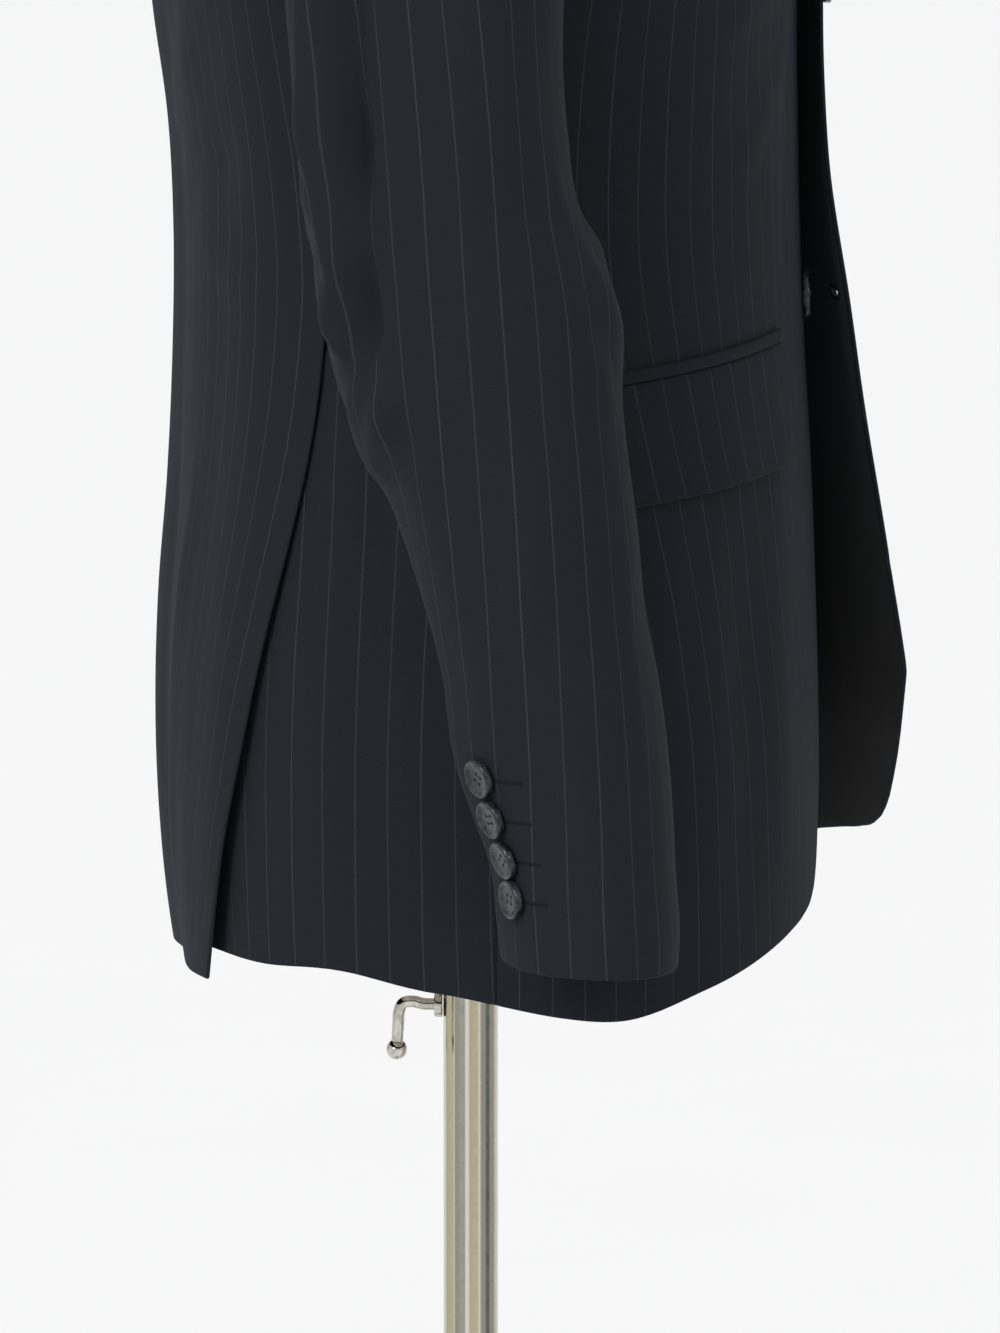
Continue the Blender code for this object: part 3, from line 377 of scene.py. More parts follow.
SLEEVE_CREASES = [
    # hollow behind the elbow
    (116, 1.26, 119, 1.09, 0.001, 0.0105, -0.01),
    (118, 1.11, 137, 1.008, -0.003, 0.0088, -0.009),
    (139, 1.24, 141, 1.1, 0.0, 0.0075, 0.0032),
    # ridges across the back of the elbow
    (143, 1.11, 139, 1.044, 0.003, 0.0055, 0.0026),
    (156, 1.04, 143, 1.016, 0.001, 0.005, 0.0016),
    (168, 0.972, 122, 1.008, 0.002, 0.0075, 0.0034),
    (158, 1.058, 148, 1.046, 0.0, 0.004, -0.0008),
    # front of the elbow
    (30, 1.088, 12, 1.03, 0.002, 0.008, 0.0016),
    (38, 1.03, 8, 1.004, -0.002, 0.0075, -0.0012),
    (2, 1.062, -28, 1.04, 0.002, 0.007, 0.0016),
    # upper arm
    (40, 1.205, 66, 1.09, 0.004, 0.013, 0.0013),
    (84, 1.26, 92, 1.12, -0.003, 0.014, -0.0012),
    (132, 1.21, 128, 1.13, 0.003, 0.01, 0.0015),
    (160, 1.18, 166, 1.11, 0.002, 0.009, 0.0013),
    # forearm
    (60, 0.985, 92, 0.905, 0.003, 0.012, 0.001),
    (20, 0.95, 40, 0.86, 0.002, 0.01, 0.0009),
    (118, 0.93, 122, 0.8, 0.001, 0.011, 0.0009),
    (96, 0.9, 88, 0.8, -0.002, 0.012, -0.0008),
    (150, 0.93, 158, 0.85, 0.001, 0.008, 0.0009),
    # inner side
    (205, 1.08, 250, 1.05, 0.003, 0.007, 0.0018),
    (200, 1.02, 240, 1.035, -0.003, 0.0065, -0.0016),
    (212, 0.99, 262, 1.0, 0.003, 0.0075, 0.0018),
    (300, 1.06, 268, 1.03, 0.002, 0.008, 0.0014),
    (232, 1.18, 240, 1.1, 0.003, 0.011, 0.0012),
    (286, 1.17, 278, 1.09, -0.003, 0.011, -0.0012),
    (250, 0.95, 244, 0.83, 0.002, 0.011, 0.001),
]


def creases(table, metres, degrees, height, strength):
    """Relief of the creases in a table, out from the smooth cloth."""
    total = np.zeros(np.broadcast(degrees, height).shape)
    for start, start_z, end, end_z, bow, width, depth in table:
        across, up = (degrees - start) * metres, height - start_z
        line = ((end - start) * metres, end_z - start_z)
        length = math.hypot(*line)
        along = (across * line[0] + up * line[1]) / length**2
        off = (up * line[0] - across * line[1]) / length
        off = off - bow * 4 * along * (1 - along)
        fade = ease((along + 0.22) / 0.5) * ease((1.22 - along) / 0.55)
        uneven = 1 + 0.25 * np.sin(9 * along + 40 * start_z)
        beside = np.exp(-(((off - 1.9 * width) / (1.3 * width)) ** 2))
        total += depth * fade * uneven * (np.exp(-((off / width) ** 2)) - 0.4 * beside)
    return total * strength


# ---------------------------------------------------------------- the torso and its panels


def shoulder_height(x):
    return np.where(x < NECK_X, NECK_Z + (NECK_X - x) * NECK_RISE, NECK_Z - (x - NECK_X) * SHOULDER_SLOPE)


def closing(x, height, drop=0.0):
    """Share of its depth that the torso keeps at this height: 1 on the chest, 0 at the shoulder line."""
    share = np.clip((height - CLOSE_FROM) / (shoulder_height(x) - drop - CLOSE_FROM), 0.0, 1.0)
    return np.sqrt(1 - share**CLOSE_POWER)


def torso_point(degrees, height, side):
    degrees, height = np.broadcast_arrays(np.asarray(degrees, float), np.asarray(height, float))
    angle = np.radians(degrees)
    power = 2 / TORSO(height, "power")
    x = TORSO(height, "half_width") * signed_power(np.sin(angle), power)
    reach = np.where(degrees < 90, TORSO(height, "front"), TORSO(height, "back"))
    y = -reach * signed_power(np.cos(angle), power)
    y = blend(SHOULDER_Y, y, closing(np.abs(x), height))
    return np.stack([side * x, y, height], axis=-1)


def degrees_at_x(x, height):
    share = np.minimum(np.abs(x) / TORSO(height, "half_width"), 1.0)
    return np.sign(x) * np.degrees(np.arcsin(share ** (TORSO(height, "power") / 2)))


def degrees_at_depth(depth, height):
    share = depth / TORSO(height, "back")
    return 180 - np.degrees(np.arccos(share ** (TORSO(height, "power") / 2)))


def armhole_spread(turn):
    return ARMHOLE_LEAN * turn + ARMHOLE_SPREAD * np.abs(np.sin(np.pi * turn)) ** 0.9


def armhole_height(turn):
    return ARMPIT_Z + ARMHOLE_HEIGHT * (1 - np.cos(np.pi * turn)) / 2


def armhole_turn(height):
    return np.arccos(1 - 2 * np.clip((height - ARMPIT_Z) / ARMHOLE_HEIGHT, 0.0, 1.0)) / np.pi


LOW_TURNS = np.linspace(0, 0.45, 4000)


def low_turn(spread):
    """Turn near the armpit at which the armhole's edge is this many degrees from the side."""
    return np.interp(spread, armhole_spread(LOW_TURNS), LOW_TURNS)


LAPPED = -0.0002
SEAM_GAP_DEGREES = math.degrees(LAPPED / 2 / 0.17)
SIDE_SEAM_TURN = float(low_turn(90 - SIDE_SEAM_DEGREES))
SIDE_SEAM_TOP = float(armhole_height(SIDE_SEAM_TURN))

RING_HEIGHTS = np.linspace(0.74, 1.5, 153)
RING_DEGREES = np.linspace(0, 180, 361)


def ring_table():
    grid = torso_point(RING_DEGREES[None, :], RING_HEIGHTS[:, None], RIGHT)
    steps = np.linalg.norm(np.diff(grid, axis=1), axis=-1)
    return np.concatenate([np.zeros((len(RING_HEIGHTS), 1)), np.cumsum(steps, axis=1)], axis=1)


RING_LENGTHS = ring_table()


def ring_length(degrees, height):
    """Length of cloth round the torso from the centre of the front."""
    column = np.clip(np.abs(degrees) * 2, 0, 359.999)
    row = np.clip((height - 0.74) / 0.005, 0, 151.999)
    c, r = column.astype(int), row.astype(int)
    c_share, r_share = column - c, row - r
    low = blend(RING_LENGTHS[r, c], RING_LENGTHS[r, c + 1], c_share)
    high = blend(RING_LENGTHS[r + 1, c], RING_LENGTHS[r + 1, c + 1], c_share)
    return np.sign(degrees) * blend(low, high, r_share)


def edge_x(height):
    """Distance of the front edge or roll line from the centre, positive on the panel's own side."""
    above = -EDGE(BREAK_Z, "beyond") + (height - BREAK_Z) * ROLL_SLOPE
    return np.where(height < BREAK_Z, -EDGE(height, "beyond"), above)


def forward(side, x, height):
    """How far a front stands forward of the torso: the pull of the button, and the lap of the left front."""
    across = np.exp(-0.5 * (x / PULL_WIDTH) ** 2)
    up = np.exp(-0.5 * ((height - TOP_BUTTON_Z) / PULL_HEIGHT) ** 2)
    push = BUTTON_PULL[side] * across * up
    if side == LEFT:
        edge = edge_x(np.maximum(height, 0.868))
        full = TORSO(height, "half_width") - edge + EDGE_FLARE
        reach = np.minimum(np.maximum(x - edge, 0.0) + EDGE_FLARE, full) / full
        most = 1 - (EDGE_FLARE / full) ** LAP_POWER
        push = push + LAP(height, "forward") * (1 - reach**LAP_POWER) / most
    return push


def body_relief(side, degrees, height):
    """Creases of the body, less near the centre of the front, where the two fronts lie over each other."""
    strength = bpy.context.scene.jacket_cloth.creases
    if side == LEFT:
        relief = creases(BODY_CREASES, BODY_METRES, degrees + 3, height - 0.012, 0.9 * strength)
    else:
        relief = creases(BODY_CREASES, BODY_METRES, degrees, height, strength)
    relief = relief - 0.006 * ease((degrees - 118) / 24)
    sway = np.sin(degrees / 9.0 + 14 * height + side) + 0.6 * np.sin(degrees / 5.3 - 9 * height)
    relief = relief + 0.0005 * strength * sway * ease((1.02 - height) / 0.22)
    from_armhole = np.abs(degrees - 90) - armhole_spread(armhole_turn(height))
    relief = relief * (1 - ease((height - 1.185) / 0.02) * (1 - ease(from_armhole / 9)))
    return relief * ease((degrees - 5) / 12) * ease((1.4 - height) / 0.06) * ease((178 - degrees) / 14)


def front_middle(side, degrees, height):
    point = torso_point(degrees, height, side)
    point[..., 1] -= forward(side, point[..., 0] * side, point[..., 2])
    return point


def out_from(point_at, degrees, height):
    """Unit normals of a surface round the torso, away from its axis."""
    first = point_at(degrees + 0.2, height) - point_at(degrees - 0.2, height)
    second = point_at(degrees, height + 0.001) - point_at(degrees, height - 0.001)
    normal = np.cross(first, second)
    normal /= np.linalg.norm(normal, axis=-1, keepdims=True)
    middle = point_at(degrees, height)
    away = normal[..., 0] * middle[..., 0] + normal[..., 1] * middle[..., 1]
    return normal * np.where(away < 0, -1.0, 1.0)[..., None]


def creased_front(side, degrees, height):
    degrees, height = np.broadcast_arrays(np.asarray(degrees, float), np.asarray(height, float))

    def smooth(a, b):
        return front_middle(side, a, b)

    relief = body_relief(side, degrees, height)[..., None]
    return smooth(degrees, height) + out_from(smooth, degrees, height) * relief


def on_front(side, degrees, height, lift):
    """Points at a distance outside the middle of a front."""
    degrees, height = np.broadcast_arrays(np.asarray(degrees, float), np.asarray(height, float))

    def surface(a, b):
        return creased_front(side, a, b)

    normal = out_from(surface, degrees, height)
    normal *= np.where(normal[..., 1] > 0, -1.0, 1.0)[..., None]
    return surface(degrees, height) + normal * np.asarray(lift)[..., None]


def front_hem(side, degrees):
    lift = LEFT_FRONT_LIFT * (1 - ease((degrees - 30) / 50)) if side == LEFT else 0.0
    return FRONT_HEM(degrees, "height") + lift


def shoulder_line(degrees, side):
    """Height of a panel's upper edge at an angle: the shoulder seam, or the neckline nearer the centre."""
    height = np.full(np.shape(degrees), NECK_Z - 0.02)
    for _ in range(12):
        x = torso_point(degrees, height, side)[..., 0] * side
        neck = BACK_NECK_Z + (NECK_Z - BACK_NECK_Z) * np.clip(x / NECK_X, 0, None) ** 2
        height = np.where(x < NECK_X, neck, shoulder_height(x))
    return height


NEAR = np.array([0.0, 0.00025, 0.0006, 0.0011, 0.0018, 0.0028])
NEAR_SEAM = 0.0045


def places(count, length, from_start=True, to_end=True):
    """Places from 0 to 1 along a run of cloth of about this length, closer together at its edges."""
    near = NEAR / length
    start = NEAR_SEAM / length if from_start else 0.0
    end = 1 - NEAR_SEAM / length if to_end else 1.0
    parts = [near if from_start else [], np.linspace(start, end, count), 1 - near[::-1] if to_end else []]
    return np.concatenate(parts)


def upper_places(count):
    """Rows from 1 to 2, above the side seam, which lie closer together at the shoulder seam."""
    return np.concatenate([np.linspace(1, 2 - 0.082, count)[1:], 2 - np.sqrt(NEAR[::-1] / 0.667)])


def front_grid(side):
    column = places(62, 0.28)[None, :]
    row = np.concatenate([places(104, 0.44, to_end=False), upper_places(76)])[:, None]
    low, high = np.clip(row, 0, 1), np.clip(row - 1, 0, 1)
    turn = SIDE_SEAM_TURN + (1 - SIDE_SEAM_TURN) * high
    rise = (NECK_Z - SIDE_SEAM_TOP) * (1 - np.cos(np.pi * high)) / 2
    corner, seam_hem = front_hem(side, CORNER_DEGREES), front_hem(side, SIDE_SEAM_DEGREES)
    edge = blend(corner, SIDE_SEAM_TOP, low) + rise
    seam = blend(seam_hem, SIDE_SEAM_TOP, low) + armhole_height(turn) - SIDE_SEAM_TOP
    seam_degrees = np.where(row <= 1, SIDE_SEAM_DEGREES - SEAM_GAP_DEGREES, 90 - armhole_spread(turn))
    degrees = blend(degrees_at_x(edge_x(edge), edge), seam_degrees, column)
    height = blend(edge, seam, column)
    hem = front_hem(side, blend(CORNER_DEGREES, SIDE_SEAM_DEGREES, column))
    height = height + (hem - blend(corner, seam_hem, column)) * np.maximum(1 - low / 0.24, 0)
    top_degrees = blend(degrees_at_x(NECK_X, NECK_Z), 90 - armhole_spread(1.0), column)
    top = shoulder_line(top_degrees, side)
    height = height + (top - blend(NECK_Z, armhole_height(1.0), column)) * high**2
    points = creased_front(side, degrees, height)
    points[..., 1] -= LAPPED / 2 * ease((high - 0.93) / 0.07)
    return points, np.stack([ring_length(degrees, height), height], axis=-1)


def back_grid(side):
    column = places(56, 0.2)[None, :]
    row = np.concatenate([places(120, 0.52, to_end=False), upper_places(56)])[:, None]
    low, high = np.clip(row, 0, 1), np.clip(row - 1, 0, 1)
    first = armhole_turn(BACK_SEAM_TOP)
    turn = first + (1 - first) * high
    centre = blend(BACK_HEM_Z, BACK_SEAM_TOP, low) + (BACK_NECK_Z - BACK_SEAM_TOP) * np.sin(np.pi / 2 * high)
    seam = blend(BACK_HEM_Z + FLAP_EDGE_DROP, BACK_SEAM_TOP, low) + armhole_height(turn) - BACK_SEAM_TOP
    at_seam = degrees_at_depth(BACK_SEAM(seam, "depth"), seam) + SEAM_GAP_DEGREES
    seam_degrees = np.where(row <= 1, at_seam, 90 + armhole_spread(turn))
    middle = 180 - math.degrees(LAPPED / 2 / 0.2)
    degrees = blend(middle, seam_degrees, column)
    height = blend(centre, seam, column)
    top = shoulder_line(blend(middle, 90 + armhole_spread(1.0), column), side)
    height = height + (top - blend(BACK_NECK_Z, armhole_height(1.0), column)) * high**2

    def smooth(a, b):
        return torso_point(a, b, side)

    relief = body_relief(side, degrees, height)[..., None]
    points = smooth(degrees, height) + out_from(smooth, degrees, height) * relief
    out = np.array([side * 0.75, 0.66, 0.0])
    points = points + out * (VENT_FLAP(height, "out") * ease((column - 0.4) / 0.6))[..., None]
    points[..., 1] += LAPPED / 2 * ease((high - 0.93) / 0.07)
    from_seam = ring_length(degrees, height) - ring_length(seam_degrees, height)
    low_across = 0.5 * from_seam - 0.5 * column * 0.175
    from_middle = ring_length(degrees, height) - ring_length(np.full(height.shape, 180.0), height)
    across = blend(low_across, from_middle + 0.0875, ease((height - 1.14) / 0.16))
    return points, np.stack([across, height], axis=-1)


def side_grid(side):
    column = places(30, 0.11)[None, :]
    row = places(118, 0.46)[:, None]
    front_hem_z, back_hem_z = front_hem(side, SIDE_SEAM_DEGREES), front_hem(side, 140.0)
    back = blend(back_hem_z, BACK_SEAM_TOP, row)

    def back_degrees(height):
        under = ease((VENT_TOP - 0.001 - height) / 0.026)
        seam = degrees_at_depth(BACK_SEAM(height, "depth"), height)
        return seam - SEAM_GAP_DEGREES + UNDERLAP_DEGREES * under

    degrees = blend(SIDE_SEAM_DEGREES + SEAM_GAP_DEGREES, back_degrees(back), column)
    top_degrees = blend(SIDE_SEAM_DEGREES, back_degrees(BACK_SEAM_TOP), column)
    top = armhole_height(low_turn(np.abs(top_degrees - 90)))
    height = blend(blend(front_hem_z, SIDE_SEAM_TOP, row), back, column)
    hem = front_hem(side, degrees)
    height = height + (hem - blend(front_hem_z, back_hem_z, column)) * np.maximum(1 - row / 0.24, 0)
    height = height + (top - blend(SIDE_SEAM_TOP, BACK_SEAM_TOP, column)) * row**6

    def smooth(a, b):
        return torso_point(a, b, side)

    relief = body_relief(side, degrees, height)[..., None]
    points = smooth(degrees, height) + out_from(smooth, degrees, height) * relief
    sunk = ease((VENT_TOP + 0.012 - height) / 0.03) * ease((column - 0.45) / 0.3)
    points = points + np.array([-side * 0.8, -0.6, 0.0]) * (UNDERLAP_SINK * sunk)[..., None]
    across = ring_length(degrees, height) - ring_length(np.full(height.shape, 100.0), height)
    return points, np.stack([across, height], axis=-1)


# ---------------------------------------------------------------- cloth as sheets


def run_length(points, axis):
    """Length along the rows or columns of a grid, from its first point."""
    steps = np.linalg.norm(np.diff(points, axis=axis), axis=-1)
    total = np.cumsum(steps, axis=axis)
    return np.insert(total, 0, 0.0, axis=axis)


def grid_normals(points, away):
    """Unit normals of a grid and whether its rows and columns turn the other way round."""
    normals = np.cross(np.gradient(points, axis=1), np.gradient(points, axis=0))
    normals /= np.maximum(np.linalg.norm(normals, axis=-1, keepdims=True), 1e-12)
    turned = np.sum(normals * away) < 0
    return (-normals if turned else normals), turned


def grid_faces(rows, columns):
    """Outer faces, inner faces and rim of a wall made of two grids of points."""
    index = np.arange(rows * columns).reshape(rows, columns)
    outer = np.stack([index[:-1, :-1], index[:-1, 1:], index[1:, 1:], index[1:, :-1]], axis=-1).reshape(-1, 4)
    rim = np.concatenate([index[0, :-1], index[:-1, -1], index[-1, :0:-1], index[:0:-1, 0]])
    after, shift = np.roll(rim, -1), rows * columns
    return outer, outer[:, ::-1] + shift, np.stack([after, rim, rim + shift, after + shift], axis=-1)


def set_uv(mesh, places_of_points):
    layer = mesh.uv_layers.new(name="cloth")
    corners = np.zeros(len(mesh.loops), int)
    mesh.loops.foreach_get("vertex_index", corners)
    layer.data.foreach_set("uv", places_of_points[corners].ravel())


def add_piece(name, mesh, body, nodes=()):
    piece = bpy.data.objects.new(name, mesh)
    bpy.context.scene.collection.objects.link(piece)
    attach(piece, body)
    if nodes:
        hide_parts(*nodes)
    return piece


def make_sheet(name, points, uv, seams, node, away=None, cut=None, held="hung", rests_on=("dress_form",)):
    """A piece of cloth about a grid of points. Its edges are rounded, and those named in seams roll inwards:
    "a" and "b" are the first and last columns, "c" and "d" the first and last rows."""
    if away is None:
        away = points * np.array([1.0, 1.0, 0.0])
    normals, _ = grid_normals(points, away)
    from_a, from_c = run_length(points, 1), run_length(points, 0)
    edges = {"a": from_a, "b": from_a[:, -1:] - from_a, "c": from_c, "d": from_c[-1:, :] - from_c}
    half = np.full(points.shape[:2], CLOTH / 2)
    for edge, distance in edges.items():
        rounded = np.sqrt(1 - (1 - np.clip(distance / (CLOTH / 2), 0, 1)) ** 2)
        half = half * np.maximum(rounded, 0.3)
        if edge in seams:
            points = points - normals * (0.0009 * np.clip(1 - distance / 0.0036, 0, 1) ** 2)[..., None]
    normals, turned = grid_normals(points, away)
    outer, inner = points + normals * half[..., None], points - normals * half[..., None]
    rows, columns = points.shape[:2]
    parts = grid_faces(rows, columns)
    faces = np.concatenate(parts)
    if turned:
        faces = faces[:, ::-1]
    mesh = bpy.data.meshes.new(name)
    mesh.from_pydata(np.concatenate([outer, inner]).reshape(-1, 3).tolist(), [], faces.tolist())
    for finish in ("worsted", "facing"):
        mesh.materials.append(bpy.data.materials[finish])
    near = np.minimum.reduce([distance for edge, distance in edges.items() if edge not in seams])
    rim = np.minimum(near[:-1, :-1], near[1:, 1:]).ravel() < 0.0022
    numbers = np.concatenate([np.zeros(len(rim)), 1 - rim, np.zeros(len(parts[2]))])
    mesh.polygons.foreach_set("material_index", numbers.astype(np.int32))
    flat = uv.reshape(-1, 2)
    set_uv(mesh, np.concatenate([flat, flat]))
    mesh.shade_smooth()
    mesh.update()
    piece = add_piece(name, mesh, "form", [node])
    return piece


# Nominal flat width and length of each piece, and an area set from its modelled sheet.
# The side panel, jet and flap differ from the modelled width, and the jet's 0.01 is more than its own height.
# The jet's 0.01 is the least a sheet may have.
CUTS = {
    "front": (0.27, 0.745, 0.1577),
    "back": (0.215, 0.735, 0.1409),
    "side": (0.125, 0.53, 0.046),
    "lapel": (0.1, 0.275, 0.0207),
    "collar": (0.48, 0.105, 0.0402),
    "sleeve_top": (0.245, 0.68, 0.1407),
    "sleeve_under": (0.16, 0.56, 0.0574),
    "jet": (0.178, 0.01, 0.00087),
    "flap": (0.178, 0.047, 0.00735),
}


def make_body():
    for word, side in SIDES.items():
        points, uv = front_grid(side)
        front = make_sheet(f"cloth_front_{word}", points, uv, "bd", f"front_{word}", cut=CUTS["front"])
        if side == LEFT:
            cut_buttonhole(front)
        points, uv = side_grid(side)
        make_sheet(f"cloth_side_{word}", points, uv, "abd", f"side_{word}", cut=CUTS["side"])
        points, uv = back_grid(side)
        make_sheet(f"cloth_back_{word}", points, uv, "ad", f"back_{word}", cut=CUTS["back"])


def make_lapels():
    """Each lapel lies on its front. Its inner edge rolls round the edge of the front, and the tail stays inside."""
    slant = math.hypot(1, ROLL_SLOPE)
    along, out = (ROLL_SLOPE / slant, 1 / slant), (1 / slant, -ROLL_SLOPE / slant)
    start = (float(edge_x(np.array(BREAK_Z))), BREAK_Z)
    share = places(74, 0.27)[:, None]
    column = places(30, 0.08, from_start=False)[None, :]
    turns = np.radians(np.linspace(175, 10, 12))[None, :]
    for word, side in SIDES.items():

        def lapel_place(column, share):
            width = LAPEL_WIDTH * np.sin(np.pi / 2 * share) ** 0.9 + 0.002
            length = blend(LAPEL_TOP, LAPEL_TIP, column) * share + 0.004
            length = length + 0.01 * (1 - ease(column / 0.4)) * share**8
            x = start[0] + along[0] * length + out[0] * width * column
            z = start[1] + along[1] * length + out[1] * width * column
            return x, z, width

        x, z, width = lapel_place(column, share)
        bulge = 0.0022 * np.exp(-((column / 0.16) ** 2)) * ease(share / 0.3)
        face = on_front(side, degrees_at_x(x, z), z, LAPEL_LIFT + bulge)
        edge_place, edge_z, _ = lapel_place(np.zeros((1, 1)), share)
        middle = on_front(side, degrees_at_x(edge_place, edge_z), edge_z, 0.0)
        above = on_front(side, degrees_at_x(edge_place, edge_z), edge_z, 0.001) - middle
        above /= np.linalg.norm(above, axis=-1, keepdims=True)
        beyond = middle - on_front(side, degrees_at_x(edge_place + 0.003, edge_z), edge_z, 0.0)
        beyond /= np.linalg.norm(beyond, axis=-1, keepdims=True)
        lift = LAPEL_LIFT + 0.0022 * ease(share / 0.3)[..., None] * (0.5 + 0.5 * np.cos(turns))[..., None]
        roll = middle + (above * np.cos(turns)[..., None] + beyond * np.sin(turns)[..., None] * 1.15) * lift
        points = np.concatenate([roll, face], axis=1)
        tip = width * (np.concatenate([np.full_like(turns, 0.0) - 0.03, column], axis=1) - 1)
        uv = np.stack([tip + 0.004, np.broadcast_to(share * LAPEL_TOP, tip.shape)], axis=-1)
        away = np.zeros_like(points)
        away[:, 14:, 1] = -1.0
        make_sheet(
            f"cloth_lapel_{word}",
            points,
            uv,
            "",
            f"lapel_{word}",
            away,
            CUTS["lapel"],
            "folded",
            [f"cloth_front_{word}"],
        )


def roof_height(x, y):
    """Height of the torso surface above a point of the plan near the neck and shoulder."""
    low, high = np.full(np.shape(x), CLOSE_FROM), shoulder_height(x)
    for _ in range(32):
        height = (low + high) / 2
        power = TORSO(height, "power")
        reach = np.where(y < SHOULDER_Y, TORSO(height, "front"), TORSO(height, "back"))
        depth = reach * np.maximum(1 - (x / TORSO(height, "half_width")) ** power, 0.0) ** (1 / power)
        edge = blend(SHOULDER_Y, np.where(y < SHOULDER_Y, -depth, depth), closing(x, height))
        under = np.abs(edge - SHOULDER_Y) > np.abs(y - SHOULDER_Y)
        low, high = np.where(under, height, low), np.where(under, high, height)
    return (low + high) / 2


def collar_point(column, row):
    place, side = np.minimum(np.abs(column), 1.0), np.where(column >= 0, 1.0, -1.0)
    fold_x, fold_y, fold_rise = (COLLAR(place, name) for name in ("fold_x", "fold_y", "fold_rise"))
    fold_z = roof_height(fold_x, fold_y) + COLLAR_LIFT + fold_rise
    seam_x, seam_y = COLLAR(place, "seam_x"), COLLAR(place, "seam_y")
    seam_z = roof_height(seam_x, seam_y) + COLLAR_SEAM_RISE
    share = row / COLLAR_STAND
    stand = [side * blend(seam_x, fold_x, share), blend(seam_y, fold_y, share), blend(seam_z, fold_z, share)]
    share = np.clip((row - COLLAR_STAND) / (1 - COLLAR_STAND), 0, 1)
    x = blend(fold_x, COLLAR(place, "edge_x"), share)
    y = blend(fold_y, COLLAR(place, "edge_y"), share)
    dip = np.where(share < 0.5, (2 * share) ** 1.7, 2 * np.minimum(1 - share, share))
    y = y - NOTCH_DIP * dip * ease((place - 0.8) / 0.2)
    fall = [side * x, y, roof_height(x, y) + COLLAR_LIFT + fold_rise * np.maximum(1 - share, 0.0) ** 3]
    return np.where((row < COLLAR_STAND)[..., None], np.stack(stand, axis=-1), np.stack(fall, axis=-1))


def make_collar():
    """Stand and fall in one sheet, from the left notch round the back of the neck to the right one."""
    column = (places(120, 0.42) * 2 - 1)[None, :]
    row = np.unique(np.concatenate([places(60, 0.09), np.linspace(0.3, 0.42, 17)]))[:, None]
    column, row = np.broadcast_arrays(column, row)
    points = collar_point(column, row)
    near_fold = np.exp(-(((row[:, 0] - COLLAR_STAND) / 0.05) ** 2))[1:-1, None, None]
    near_middle = np.exp(-((column[0] / 0.08) ** 2))[None, 1:-1, None]
    for _ in range(14):
        points[1:-1] += near_fold * ((points[:-2] + points[2:]) / 2 - points[1:-1]) * 0.8
        points[:, 1:-1] += near_middle * ((points[:, :-2] + points[:, 2:]) / 2 - points[:, 1:-1]) * 0.8
    level = ease((0.86 - np.abs(column[0])) / 0.2)[None, 1:-1] * 0.5
    for _ in range(220):
        height = points[..., 2]
        points[:, 1:-1, 2] += level * (height[:, :-2] + height[:, 2:] - 2 * height[:, 1:-1])
    away = np.zeros_like(points)
    away[-20:] = points[-20:] * np.array([1.0, 1.0, 0.0])
    uv = np.stack([column * 0.23, run_length(points, 0)], axis=-1)
    make_sheet(
        "cloth_collar",
        points,
        uv,
        "c",
        "collar",
        away,
        CUTS["collar"],
        "folded",
        ["cloth_back_left", "cloth_back_right"],
    )


def fold_depth(degrees, height):
    """The main creases behind the elbow, which the CAD solid has too."""
    total = 0.0
    for middle, middle_z, slope, length, width, depth in ELBOW_FOLDS:
        away = degrees - middle
        rise = (height - middle_z - slope * away) / width
        total = total + depth * np.exp(-((away / length) ** 2) - rise * rise) * np.cos(1.5 * rise)
    return total


def sleeve_ring(side, degrees, height):
    """A place on the sleeve below the armhole: 0 degrees is its front, 90 its outer side and 180 its back."""
    degrees, height = np.broadcast_arrays(np.asarray(degrees, float), np.asarray(height, float))
    angle, power = np.radians(degrees), 2 / SLEEVE_POWER
    relief = fold_depth(degrees % 360, height)
    x = SLEEVE(height, "x") + (SLEEVE(height, "half_x") + relief) * signed_power(np.sin(angle), power)
    y = -(SLEEVE(height, "half_y") + relief) * signed_power(np.cos(angle), power)
    return np.stack([side * x, y + SLEEVE(height, "y"), height + SLEEVE_TILT * y], axis=-1)


def armhole_point(side, degrees):
    from_inner = (degrees - 270) % 360
    at_front = from_inner <= 180
    turn = np.where(at_front, from_inner, 360 - from_inner) / 180
    spread = armhole_spread(turn)
    point = torso_point(np.where(at_front, 90 - spread, 90 + spread), armhole_height(turn), side)
    pushed = forward(side, point[..., 0] * side, point[..., 2])
    point[..., 1] -= np.where(at_front, pushed, 0.0)
    point[..., 0] -= side * 0.0012
    inward = np.stack([point[..., 0], np.zeros_like(turn), np.full_like(turn, ARMPIT_Z + ARMHOLE_HEIGHT / 2)], -1)
    inward = inward - point
    return point + inward / np.linalg.norm(inward, axis=-1, keepdims=True) * INTO_ARMHOLE


def sleeve_smooth(side, degrees, row):
    """Rows run from 0 at the armhole to 1 at the top of the level rings and 2 at the cuff."""
    degrees, row = np.broadcast_arrays(np.asarray(degrees, float), np.asarray(row, float))
    start, end = armhole_point(side, degrees), sleeve_ring(side, degrees, SLEEVE_TOP)
    length = np.linalg.norm(end - start, axis=-1, keepdims=True)
    upper = np.maximum(np.sin(np.radians(degrees)), 0.0)
    out = np.stack([np.full_like(upper, side), np.zeros_like(upper), HEAD_RISE * upper], axis=-1)
    first = start + out * length * 0.34
    second = end + np.array([0.0, 0.0, 1.0]) * length * 0.42
    share = np.clip(row, 0, 1)[..., None]
    rest = 1 - share
    cap = rest**3 * start + 3 * rest**2 * share * first + 3 * rest * share**2 * second + share**3 * end
    level = sleeve_ring(side, degrees, blend(SLEEVE_TOP, CUFF_Z, np.clip(row - 1, 0, 1)))
    return np.where((row < 1)[..., None], cap, level)


